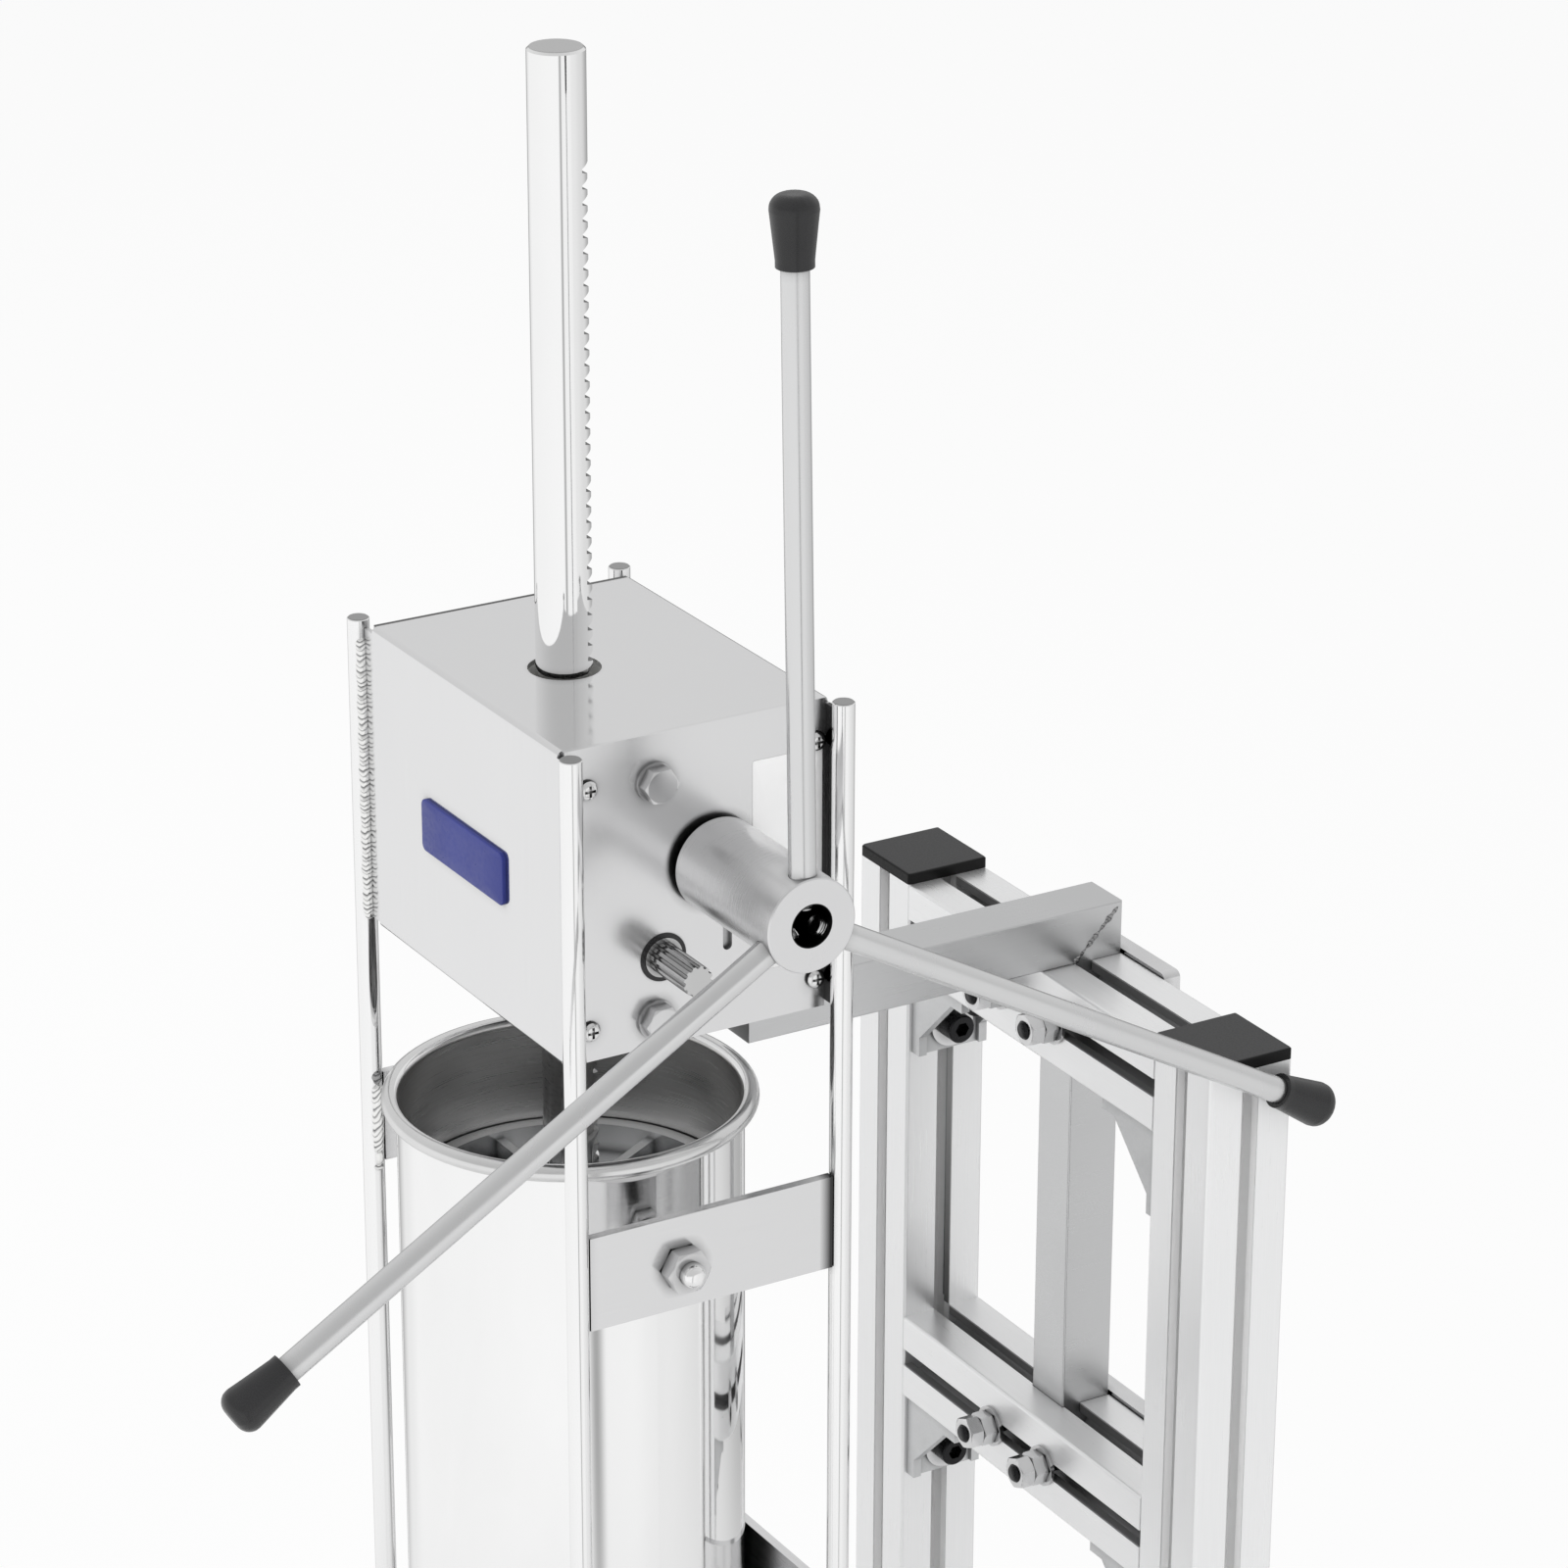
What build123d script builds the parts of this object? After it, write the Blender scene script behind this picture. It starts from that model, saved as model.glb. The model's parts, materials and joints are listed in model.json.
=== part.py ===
"""Churro maker: a hand-turned rack press for dough, carried by an arm on a slotted-profile stand.

Millimetres, +Z up. The origin is on the floor, under the middle of the whole machine.
The front is -Y and the handle is on the +X side. Heights are measured from the floor, and
the helper planes below measure x from the middle of the gearbox.
"""
import os
from math import acos, cos, pi, radians, sin, tan

from build123d import *

# ---- Square slotted profile of the stand ----
profile = 40.0
profile_corner = 1.5
slot_mouth = 8.2
slot_lip = 4.5
slot_inside = 18.0
slot_shoulder = 2.5
slot_floor = 11.0
slot_depth = 12.2
core_bore = 6.8
pocket = 5.5
pocket_pitch = 29.0

# ---- Stand ----
post_gap = 189.0
post_front = 204.2
post_top = 654.8
crossbar_pitch = 210.1
foot_span = 540.0
cap_thick = 5.1
cap_peg = 6.6
cap_peg_length = 12.0
cap_edge = 0.8
pad_reach = 245.0
pad_height = 16.0
pad_radius = 16.0
pad_narrowing = 3.0

# ---- Arm and its clamps ----
arm_size = 24.0
arm_wall = 2.0
arm_corner = 0.8
arm_from_cylinder = 6.0
arm_setback = 15.1
arm_play = 0.2
block_width = 50.0
block_front = 10.0
block_lap = 26.0
block_bolt_front = 25.0
block_bolt_pitch = 20.0
block_bolt_length = 16.0
stud_pitch = 41.0
stud_reach = 16.0
stud_tail = 8.5
back_plate_thick = 8.0
back_plate_width = 86.0
back_plate_rise = 1.4
back_plate_drop = 4.0
back_plate_corner = 3.0

# ---- Gearbox ----
box_width = 158.0
box_height = 129.4
box_top = 828.9
sheet = 2.0
bend = 2.5
wall_to_rod = 0.1
rod_past_wall = 0.3
rack_hole = 29.0
screw_from_front = 11.7
screw_from_back = 6.4
screw_from_top = 17.0
screw_from_bottom = 12.8
corner_block_margin = 5.0
corner_block_depth = 10.0
panel_slot_width = 4.0
panel_slot_height = 14.0
panel_slot_y = 13.3
panel_slot_z = 740.0
guide_depth = 36.0
guide_mouth_depth = 6.0
upper_guide_height = 23.5
lower_guide_height = 16.5
guide_bolt_offset = 4.6
upper_guide_bolt = 19.4
lower_guide_bolt = 11.5
bearing_plate_x = 25.0
bearing_plate_thick = 6.0
bearing_plate_depth = 90.0

# ---- Four uprights and what they carry ----
rod = 9.0
rod_x = 88.3
rod_top = 830.0
rod_edge = 0.6
strap_height = 40.0
strap_thick = 4.0
rear_strap_play = 1.3
side_strap_top = 630.0
rear_strap_top = 437.0
seat_thick = 4.0
seat_margin = 5.0
seat_corner = 6.0
neck_play = 1.0
pivot_height = 608.0
pivot_screw = 10.0
pivot_proud = 13.0
pivot_dome = 4.0

# ---- Gears and rack ----
gear_module = 2.0
pressure_angle = radians(20.0)
tooth_above = 1.5
tooth_below = 2.5
backlash = 0.18
pinion_teeth = 14
wheel_teeth = 28
lower_shaft_direction = radians(237.35)
drive_axis_y = 7.5
drive_axis_z = 771.6
pinion_width = 24.0
gear_width = 12.0
gear_x = 43.0
rack_round = 22.5
rack_pitch_line = 7.5
rack_top = 1075.6
rack_edge = 1.2
teeth_above_axis = 41
teeth_below_axis = 24
drive_journal = 16.0
lower_journal = 12.6
lower_shaft_inner = 14.0
drive_bush_wall = 3.0
lower_bush_wall = 1.7
bush_length = 12.0
bush_flange = 3.0
bush_flange_thick = 3.0
bush_proud = 0.8
seal_wall = 1.8
seal_proud = 0.4
key_size = 5.0
clip_thick = 1.2
clip_wall = 3.0
clip_groove = 0.6
stub_length = 27.0
stub_edge = 1.0
spline_grooves = 12
spline_groove = 0.9
running = 0.05
spline_play = 0.1

# ---- Handle ----
hub = 38.0
hub_length = 70.0
hub_from_cover = 3.0
hub_mouth = 17.0
hub_socket = 26.0
hub_edge = 0.5
spoke = 10.6
spoke_thread = 8.0
spoke_fit = 0.1
spoke_from_face = 6.5
spoke_tilt = 1.0
spoke_seat = 2.0
spoke_into_bore = 1.6
knob_start = 254.0
knob_length = 27.0
knob_neck = 14.4
knob_head = 18.4
knob_lip = 2.5
knob_shoulder = 21.0
knob_flat = 6.0
knob_grip = 20.0

# ---- Cylinder, piston and nozzle ----
cylinder = 140.0
cylinder_wall = 1.2
cylinder_rim_top = 649.4
cylinder_depth = 314.0
rim_bead = 7.2
bottom_thick = 1.5
bottom_round = 8.0
neck = 44.0
neck_wall = 2.0
neck_length = 22.0
nozzle_flange_thick = 4.0
nozzle_length = 54.0
nozzle_shoulder = 38.0
nozzle_tip = 26.0
nozzle_tip_length = 12.0
nozzle_wall = 2.5
nozzle_floor = 6.0
star = 15.0
star_valley = 10.0
star_points = 8
ring_nut_width = 60.0
ring_nut_height = 20.0
ring_nut_lip = 4.0
thread_play = 0.1
piston_top = 603.0
piston_height = 18.0
piston_floor = 6.0
piston_play = 0.8
piston_ribs = 6
piston_rim = 6.0
rib_thick = 4.0
rib_drop = 3.0
boss = 34.0
boss_rise = 3.0
seal_height = 8.8
seal_groove_depth = 3.0
seal_groove_play = 0.1
seal_play = 0.3
rack_stud = 12.0
piston_nut_height = 7.0
piston_nut_recess = 8.0
nut_room = 1.5

# ---- Fasteners ----
m8 = 8.0
m8_room = 0.2
m8_hex = 13.0
m8_hex_head = 5.3
m8_nut_height = 6.5
hex_ease = 0.97
nut_gap = 0.1
clamp_nut_turns = (22.0, 4.0, -14.0)
m8_washer = 16.0
m8_washer_thick = 1.6
socket_head = 13.0
socket_head_height = 8.0
socket_key = 6.0
socket_key_depth = 4.0
guide_bolt_length = 22.0
m4 = 4.0
m4_head = 8.0
m4_head_height = 2.6
m4_length = 9.0
m4_cross = 4.6
m4_cross_width = 1.1
m4_cross_depth = 1.2
m10_hex = 17.0
m10_nut_height = 7.0
m12_hex = 19.0
bracket_leg = 40.0
bracket_width = 35.0
bracket_wall = 4.0
bracket_web = 4.0
bracket_nose = 6.0
bracket_nose_length = 9.0
bracket_screw_place = 28.0
bracket_screw_length = 16.0
bracket_washer = 21.0
clamp_washer = 18.0
slot_nut_width = 13.5
slot_nut_length = 20.0
slot_nut_height = 4.5

# ---- Worked out from the sizes above ----
stand_width = post_gap + 2 * profile
post_x = (post_gap + profile) / 2
cover_face = box_width / 2
hub_inner_x = cover_face + hub_from_cover
hub_face_x = hub_inner_x + hub_length
middle_x = (stand_width / 2 - hub_face_x) / 2

foot_top = pad_height + profile
post_middle_y = post_front + profile / 2
post_back = post_front + profile
upper_bar_z = post_top - profile / 2
lower_bar_z = upper_bar_z - crossbar_pitch
base_bar_z = foot_top - profile / 2

arm_leg_front = post_front + arm_setback
arm_leg_back = arm_leg_front + arm_size
arm_bottom = post_top
arm_top = arm_bottom + arm_size
arm_end = lower_bar_z - profile / 2

pitch_radius = gear_module * pinion_teeth / 2
rack_y = drive_axis_y - pitch_radius - rack_pitch_line
cylinder_radius = cylinder / 2
arm_front = rack_y + cylinder_radius + arm_from_cylinder
block_back = arm_front + block_lap
rod_y = rack_y + cylinder_radius + rear_strap_play + strap_thick / 2
box_depth = 2 * (rod_y - rod_past_wall)

box_bottom = box_top - box_height
box_floor = box_bottom + sheet
box_ceiling = box_top - sheet
inner_half_width = cover_face - sheet
inner_half_depth = box_depth / 2 - sheet
wall_half_width = rod_x - rod / 2 - wall_to_rod

wheel_radius = gear_module * wheel_teeth / 2
tooth_pitch = pi * gear_module
rack_radius = rack_round / 2
rack_bottom = piston_top + boss_rise
shaft_distance = pitch_radius + wheel_radius
lower_axis_y = drive_axis_y + shaft_distance * cos(lower_shaft_direction)
lower_axis_z = drive_axis_z + shaft_distance * sin(lower_shaft_direction)
stub_end = cover_face + stub_length

upper_guide_bottom = box_ceiling - upper_guide_height
lower_guide_top = box_floor + lower_guide_height
guide_bolt_y = rack_y - guide_bolt_offset
guide_bolt_heights = (box_top - upper_guide_bolt, box_bottom + lower_guide_bolt)

cylinder_inside = cylinder_radius - cylinder_wall
cylinder_floor = cylinder_rim_top - cylinder_depth
cylinder_bottom = cylinder_floor - bottom_thick
seat_bottom = cylinder_bottom - seat_thick
neck_end = cylinder_bottom - neck_length
nozzle_end = neck_end - nozzle_length
piston_bottom = piston_top - piston_height
piston_radius = cylinder_inside - piston_play
groove_radius = piston_radius - seal_groove_depth
spoke_x = hub_face_x - spoke_from_face
spoke_angles = [radians(90 + spoke_tilt + 120 * turn) for turn in range(3)]
sides = (-1, 1)


def level(z, x=0.0, y=0.0):
    """A plane facing up at height z."""
    return Plane(origin=(middle_x + x, y, z))


def facing_right(x, y=0.0, z=0.0):
    """A plane facing +X, whose own X runs back along +Y and whose own Y runs up."""
    return Plane(origin=(middle_x + x, y, z), x_dir=(0, 1, 0), z_dir=(1, 0, 0))


def facing_left(x, y=0.0, z=0.0):
    """A plane facing -X, whose own X runs forward along -Y and whose own Y runs up."""
    return Plane(origin=(middle_x + x, y, z), x_dir=(0, -1, 0), z_dir=(-1, 0, 0))


def facing_front(y, x=0.0, z=0.0):
    """A plane facing -Y, whose own X runs right and whose own Y runs up."""
    return Plane(origin=(middle_x + x, y, z), x_dir=(1, 0, 0), z_dir=(0, -1, 0))


def out_along(angle, radius, x):
    """A plane on a spoke's line, facing outwards from the handle's axis."""
    outward = (0, cos(angle), sin(angle))
    origin = (middle_x + x, drive_axis_y + radius * cos(angle), drive_axis_z + radius * sin(angle))
    return Plane(origin=origin, x_dir=(1, 0, 0), z_dir=outward)


def keep(builder, name):
    """Label a finished piece and write it to its own file."""
    builder.part.label = name
    export_step(builder.part, f"parts/{name}.step")


def disc(plane, radius, length):
    """Add a round bar to the open part."""
    with BuildSketch(plane) as end_face:
        Circle(radius)
    extrude(end_face.sketch, amount=length)


def hole(plane, radius, length, start=-1.0):
    """Cut a round hole along a plane's normal, from just before the plane."""
    with BuildSketch(plane.offset(start)) as mouth:
        Circle(radius)
    extrude(mouth.sketch, amount=length - start, mode=Mode.SUBTRACT)


def ring(plane, outer, inner, length):
    """Add a ring or a sleeve to the open part."""
    with BuildSketch(plane) as end_face:
        Circle(outer)
        Circle(inner, mode=Mode.SUBTRACT)
    extrude(end_face.sketch, amount=length)


def hex_piece(across, height, bore=0.0, shank=0.0, shank_length=0.0):
    """A hexagonal nut or bolt head on the ground plane.

    The upper corners are turned off to a cone, and on a nut, which has a bore, the lower ones too."""
    corner = across / 2 / cos(pi / 6)
    ease = corner - hex_ease * across / 2
    outside = corner + 0.1
    lower_end = [(corner - ease, 0), (outside, ease / 2)] if bore else [(outside, 0)]
    with BuildPart() as piece:
        with BuildSketch():
            RegularPolygon(across / 2, 6, major_radius=False)
        extrude(amount=height)
        with BuildSketch(Plane.XZ):
            with BuildLine():
                upper_end = [(outside, height - ease / 2), (corner - ease, height)]
                Polyline((0, 0), *lower_end, *upper_end, (0, height), close=True)
            make_face()
        revolve(axis=Axis.Z, mode=Mode.INTERSECT)
        if bore:
            hole(Plane.XY, bore, height + 1)
        if shank:
            disc(Plane.XY.offset(-shank_length), shank, shank_length)
    return piece.part


def socket_screw(length):
    """A socket cap screw: the head stands on the ground plane and the shank hangs below it."""
    with BuildPart() as screw:
        disc(Plane.XY, socket_head / 2, socket_head_height)
        chamfer(screw.faces().sort_by(Axis.Z)[-1].edges(), 0.6)
        disc(Plane.XY.offset(-length), m8 / 2, length)
        with BuildSketch(Plane.XY.offset(socket_head_height)):
            RegularPolygon(socket_key / 2, 6, major_radius=False)
        extrude(amount=-socket_key_depth, mode=Mode.SUBTRACT)
    return screw.part


def place(piece, planes):
    """Add copies of a piece to the open part, one on each plane."""
    with Locations(*[Location(plane) for plane in planes]):
        add(piece)


# ---------------------------------------------------------------- stand


def slotted_section():
    """Draw the profile's section: four T slots, a core bore and four corner pockets."""
    half = profile / 2
    RectangleRounded(profile, profile, profile_corner)
    Circle(core_bore / 2, mode=Mode.SUBTRACT)
    with GridLocations(pocket_pitch, pocket_pitch, 2, 2):
        Rectangle(pocket, pocket, mode=Mode.SUBTRACT)
    upper = [
        (half + 1, slot_mouth / 2),
        (half - slot_lip, slot_mouth / 2),
        (half - slot_lip, slot_inside / 2),
        (half - slot_lip - slot_shoulder, slot_inside / 2),
        (half - slot_depth, slot_floor / 2),
    ]
    lower = [(along, -across) for along, across in reversed(upper)]
    with PolarLocations(0, 4):
        Polygon(*upper, *lower, align=None, mode=Mode.SUBTRACT)


def slotted_bar(plane, length):
    """A length of the profile, standing on the plane."""
    with BuildPart() as bar:
        with BuildSketch(plane):
            slotted_section()
        extrude(amount=length)
    return bar


def clamp_places(z, y):
    """Planes facing front at the two clamp studs of the crossbar at height z."""
    return [facing_front(y, side * stud_pitch / 2, z) for side in sides]


def crossbar(z):
    """A bar between the posts, notched at the back for the arm's leg and drilled for its studs."""
    with BuildPart() as bar:
        with BuildSketch(facing_right(-post_gap / 2, post_middle_y, z)):
            slotted_section()
        extrude(amount=post_gap)
        notch_front = arm_leg_front - arm_play
        with BuildSketch(level(z - profile / 2 - 1, 0, (notch_front + post_back + 1) / 2)):
            Rectangle(arm_size + 2 * arm_play, post_back + 1 - notch_front)
        extrude(amount=profile + 2, mode=Mode.SUBTRACT)
        for plane in clamp_places(z, post_back):
            hole(plane, m8 / 2 + m8_room, profile + 1)
    return bar


def build_profiles():
    """The two posts, the two clamped crossbars, the feet and the bar that joins the feet."""
    for side, name in ((-1, "left"), (1, "right")):
        keep(slotted_bar(level(foot_top, side * post_x, post_middle_y), post_top - foot_top), f"{name}_post")
        foot_back = foot_span / 2 - cap_thick
        foot = slotted_bar(facing_front(foot_back, side * post_x, base_bar_z), 2 * foot_back)
        keep(foot, f"{name}_foot")
    keep(crossbar(upper_bar_z), "upper_crossbar")
    keep(crossbar(lower_bar_z), "lower_crossbar")
    keep(slotted_bar(facing_right(-post_gap / 2, post_middle_y, base_bar_z), post_gap), "base_crossbar")


def build_caps():
    """Plastic caps on the posts and the feet, each with a peg in the profile's core bore."""
    with BuildPart() as cap:
        with BuildSketch():
            RectangleRounded(profile, profile, profile_corner)
        extrude(amount=cap_thick)
        chamfer(cap.faces().sort_by(Axis.Z)[-1].edges(), cap_edge)
        disc(Plane.XY.offset(-cap_peg_length), cap_peg / 2, cap_peg_length)
    foot_end = foot_span / 2 - cap_thick
    planes = [level(post_top, side * post_x, post_middle_y) for side in sides]
    for side in sides:
        planes.append(facing_front(-foot_end, side * post_x, base_bar_z))
        foot_back = (middle_x + side * post_x, foot_end, base_bar_z)
        back = Plane(origin=foot_back, x_dir=(1, 0, 0), z_dir=(0, 1, 0))
        planes.append(back)
    with BuildPart() as caps:
        place(cap.part, planes)
    keep(caps, "profile_caps")


def build_pads():
    """Four round rubber feet under the foot profiles."""
    with BuildPart() as pads:
        for side in sides:
            for end in sides:
                plane = level(0, side * post_x, end * pad_reach)
                with BuildSketch(plane):
                    Circle(pad_radius)
                with BuildSketch(plane.offset(pad_height)):
                    Circle(pad_radius - pad_narrowing)
                loft()
    keep(pads, "rubber_feet")


def bracket_planes():
    """Where each corner bracket sits: its own X and Y run along the two faces that it joins."""
    planes = []
    for side in sides:
        inner = middle_x + side * post_gap / 2
        across = (-side, 0, 0)
        for z in (upper_bar_z, lower_bar_z):
            under = (inner, post_middle_y, z - profile / 2)
            planes.append(Plane(origin=under, x_dir=across, z_dir=(0, -side, 0)))
        planes.append(Plane(origin=(inner, post_front, base_bar_z), x_dir=across, z_dir=(0, 0, side)))
        toe = (middle_x + side * post_x, post_front, foot_top)
        planes.append(Plane(origin=toe, x_dir=(0, -1, 0), z_dir=(-1, 0, 0)))
    return planes


def build_brackets():
    """Cast corner brackets with two webs, their washers and socket screws and the nuts in the slots."""
    with BuildPart() as bracket:
        with BuildSketch():
            with BuildLine():
                Polyline(
                    (0, 0),
                    (bracket_leg, 0),
                    (bracket_leg, bracket_wall),
                    (bracket_wall, bracket_wall),
                    (bracket_wall, bracket_leg),
                    (0, bracket_leg),
                    close=True,
                )
            make_face()
        extrude(amount=bracket_width / 2, both=True)
        for side in sides:
            with BuildSketch(Plane.XY.offset(side * (bracket_width - bracket_web) / 2)):
                with BuildLine():
                    Polyline(
                        (0, 0),
                        (bracket_leg, 0),
                        (bracket_leg, bracket_nose),
                        (bracket_leg - bracket_nose_length, bracket_nose),
                        (bracket_nose, bracket_leg - bracket_nose_length),
                        (bracket_nose, bracket_leg),
                        (0, bracket_leg),
                        close=True,
                    )
                make_face()
            extrude(amount=bracket_web / 2, both=True)
        onto_x = Plane(origin=(bracket_screw_place, 0, 0), x_dir=(1, 0, 0), z_dir=(0, 1, 0))
        onto_y = Plane(origin=(0, bracket_screw_place, 0), x_dir=(0, 0, 1), z_dir=(1, 0, 0))
        for plane in (onto_x, onto_y):
            hole(plane, m8 / 2 + m8_room, bracket_wall + 1)
    planes = bracket_planes()
    with BuildPart() as brackets:
        place(bracket.part, planes)
    keep(brackets, "corner_brackets")

    with BuildPart() as washer_pair:
        for plane in (onto_x, onto_y):
            seat = plane.offset(bracket_wall)
            ring(seat, bracket_washer / 2, m8 / 2 + m8_room, m8_washer_thick)
    with BuildPart() as washers:
        place(washer_pair.part, planes)
    keep(washers, "bracket_washers")

    screw_spots = [plane.offset(bracket_wall + m8_washer_thick) for plane in (onto_x, onto_y)]
    with BuildPart() as pair:
        place(socket_screw(bracket_screw_length), screw_spots)
    with BuildPart() as screws:
        place(pair.part, planes)
    keep(screws, "bracket_screws")

    with BuildPart() as nuts_of_bracket:
        for plane, turned in ((onto_x, False), (onto_y, True)):
            with BuildSketch(plane.offset(-slot_lip)):
                if turned:
                    Rectangle(slot_nut_width, slot_nut_length)
                else:
                    Rectangle(slot_nut_length, slot_nut_width)
                Circle(m8 / 2 + m8_room / 2, mode=Mode.SUBTRACT)
            extrude(amount=-slot_nut_height)
    with BuildPart() as slot_nuts:
        place(nuts_of_bracket.part, planes)
    keep(slot_nuts, "slot_nuts")


# ---------------------------------------------------------------- arm


def arm_outline(inset, front, end):
    """Corners of the arm seen from the side, drawn in by inset, with its front and lower ends."""
    return [
        (front, arm_top - inset),
        (arm_leg_back - inset, arm_top - inset),
        (arm_leg_back - inset, end),
        (arm_leg_front + inset, end),
        (arm_leg_front + inset, arm_bottom + inset),
        (front, arm_bottom + inset),
    ]


def build_arm():
    """The bent arm: a square tube mitred at the back, with its leg down through both crossbars."""
    with BuildPart() as arm:
        with BuildSketch(facing_right(0)):
            Polygon(*arm_outline(0.0, arm_front, arm_end), align=None)
        extrude(amount=arm_size / 2, both=True)
        along = arm.edges().filter_by(GeomType.LINE).filter_by(lambda edge: edge.length > 2 * arm_size)
        fillet(along, arm_corner)
        with BuildSketch(facing_right(0)):
            Polygon(*arm_outline(arm_wall, arm_front + arm_wall, arm_end - 1), align=None)
        extrude(amount=arm_size / 2 - arm_wall, both=True, mode=Mode.SUBTRACT)
    keep(arm, "arm")


def block_bolt_places(z):
    """Planes facing up at the two bolts that hold the mounting block."""
    return [level(z, 0, block_bolt_front + step * block_bolt_pitch) for step in range(2)]


def build_block():
    """The block between the gearbox and the arm, and the two bolts that pull it up to the box."""
    with BuildPart() as block:
        with BuildSketch(level(arm_top, 0, (block_front + block_back) / 2)):
            Rectangle(block_width, block_back - block_front)
        extrude(amount=box_bottom - arm_top)
        for plane in block_bolt_places(box_bottom):
            hole(plane, m8 / 2 + m8_room / 2, 1, start=-block_bolt_length)
    keep(block, "mounting_block")
    with BuildPart() as bolts:
        place(socket_screw(block_bolt_length), block_bolt_places(box_floor))
    keep(bolts, "block_bolts")


def build_clamps():
    """Studs through both crossbars, with a plate behind that pulls the arm's leg into its notch."""
    with BuildPart() as plates:
        for z in (upper_bar_z, lower_bar_z):
            low = z - profile / 2 + back_plate_drop
            high = z + profile / 2 + back_plate_rise
            with BuildSketch(facing_front(post_back + back_plate_thick, 0, (low + high) / 2)):
                RectangleRounded(back_plate_width, high - low, back_plate_corner)
            extrude(amount=back_plate_thick)
            for plane in clamp_places(z, post_back + back_plate_thick):
                hole(plane, m8 / 2 + m8_room, back_plate_thick + 1)
    keep(plates, "back_plates")

    back = post_back + back_plate_thick
    with BuildPart() as studs:
        for z in (upper_bar_z, lower_bar_z):
            for plane in clamp_places(z, back + stud_tail):
                disc(plane, m8 / 2, back + stud_tail - post_front + stud_reach)
        chamfer(studs.faces().filter_by(Axis.Y).edges(), 0.6)
    keep(studs, "clamp_studs")

    with BuildPart() as washers:
        for z in (upper_bar_z, lower_bar_z):
            for plane in clamp_places(z, post_front):
                ring(plane, clamp_washer / 2, m8 / 2 + m8_room, m8_washer_thick)
    keep(washers, "clamp_washers")

    nut = hex_piece(m8_hex, m8_nut_height, bore=m8 / 2 + m8_room / 2)
    turned_nuts = [Rotation(0, 0, turn) * nut for turn in clamp_nut_turns]
    with BuildPart() as nuts:
        for z in (upper_bar_z, lower_bar_z):
            inner_face = post_front - m8_washer_thick
            outer_face = inner_face - m8_nut_height - nut_gap
            depths = (outer_face, inner_face, back + m8_nut_height)
            for depth, turned_nut in zip(depths, turned_nuts):
                place(turned_nut, clamp_places(z, depth))
    keep(nuts, "clamp_nuts")


# ---------------------------------------------------------------- gearbox


def screw_places():
    """The side cover's four screws, as (y, z)."""
    front = -box_depth / 2 + screw_from_front
    back = box_depth / 2 - screw_from_back
    return [(y, z) for y in (front, back) for z in (box_bottom + screw_from_bottom, box_top - screw_from_top)]


def build_shell():
    """The folded shell: front, top, back and floor, with front and back walls reaching the rods."""
    middle = (box_top + box_bottom) / 2
    with BuildPart() as shell:
        with BuildSketch(facing_right(-inner_half_width, 0, middle)):
            RectangleRounded(box_depth, box_height, bend)
            Rectangle(box_depth - 2 * sheet, box_height - 2 * sheet, mode=Mode.SUBTRACT)
        extrude(amount=2 * inner_half_width)
        for end in sides:
            wall_y = end * (box_depth - sheet) / 2
            for side in sides:
                flange_middle = side * (inner_half_width + wall_half_width) / 2
                with BuildSketch(level(box_bottom + bend, flange_middle, wall_y)):
                    Rectangle(wall_half_width - inner_half_width, sheet)
                extrude(amount=box_height - 2 * bend)
        for y, z in screw_places():
            wall_y = inner_half_depth if y > 0 else -inner_half_depth
            wall_z = box_ceiling if z > middle else box_floor
            near_y = y - corner_block_margin if y > 0 else y + corner_block_margin
            near_z = z - corner_block_margin if z > middle else z + corner_block_margin
            plane = facing_right(inner_half_width, (wall_y + near_y) / 2, (wall_z + near_z) / 2)
            with BuildSketch(plane):
                Rectangle(abs(wall_y - near_y), abs(wall_z - near_z))
            extrude(amount=-corner_block_depth)
            hole(facing_left(inner_half_width, y, z), m4 / 2 + m8_room / 2, m4_length)
        for z in (box_bottom, box_ceiling):
            hole(level(z, 0, rack_y), rack_hole / 2, sheet + 1)
        for plane in block_bolt_places(box_bottom):
            hole(plane, m8 / 2 + m8_room, sheet + 1)
    keep(shell, "gearbox_shell")


def side_plate(plane, upper_hole, lower_hole=0.0):
    """A side plate of the gearbox, lying on a plane that faces outwards through the box's middle line."""
    middle = (box_top + box_bottom) / 2

    def spot(y, z):
        """The same plane, moved to a place given as y and z."""
        return Plane(origin=(plane.origin.X, y, z), x_dir=plane.x_dir, z_dir=plane.z_dir)

    with BuildPart() as plate:
        with BuildSketch(spot(0, middle)):
            Rectangle(2 * inner_half_depth, box_height)
        extrude(amount=sheet)
        hole(spot(drive_axis_y, drive_axis_z), upper_hole, sheet + 1)
        for z in guide_bolt_heights:
            hole(spot(guide_bolt_y, z), m8 / 2 + m8_room, sheet + 1)
        if lower_hole:
            hole(spot(lower_axis_y, lower_axis_z), lower_hole, sheet + 1)
            for y, z in screw_places():
                hole(spot(y, z), m4 / 2 + m8_room, sheet + 1)
            with BuildSketch(spot(panel_slot_y, panel_slot_z).offset(-1)):
                SlotOverall(panel_slot_height, panel_slot_width, rotation=90)
            extrude(amount=sheet + 2, mode=Mode.SUBTRACT)
    return plate


def build_side_plates():
    """The welded left plate and the screwed cover on the handle side."""
    upper_bush = drive_journal / 2 + running + drive_bush_wall
    lower_bush = lower_journal / 2 + running + lower_bush_wall
    keep(side_plate(facing_left(-inner_half_width), upper_bush + running), "left_side_plate")
    upper_hole = upper_bush + seal_wall + running
    lower_hole = lower_bush + seal_wall + running
    keep(side_plate(facing_right(inner_half_width), upper_hole, lower_hole), "side_cover")


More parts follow.
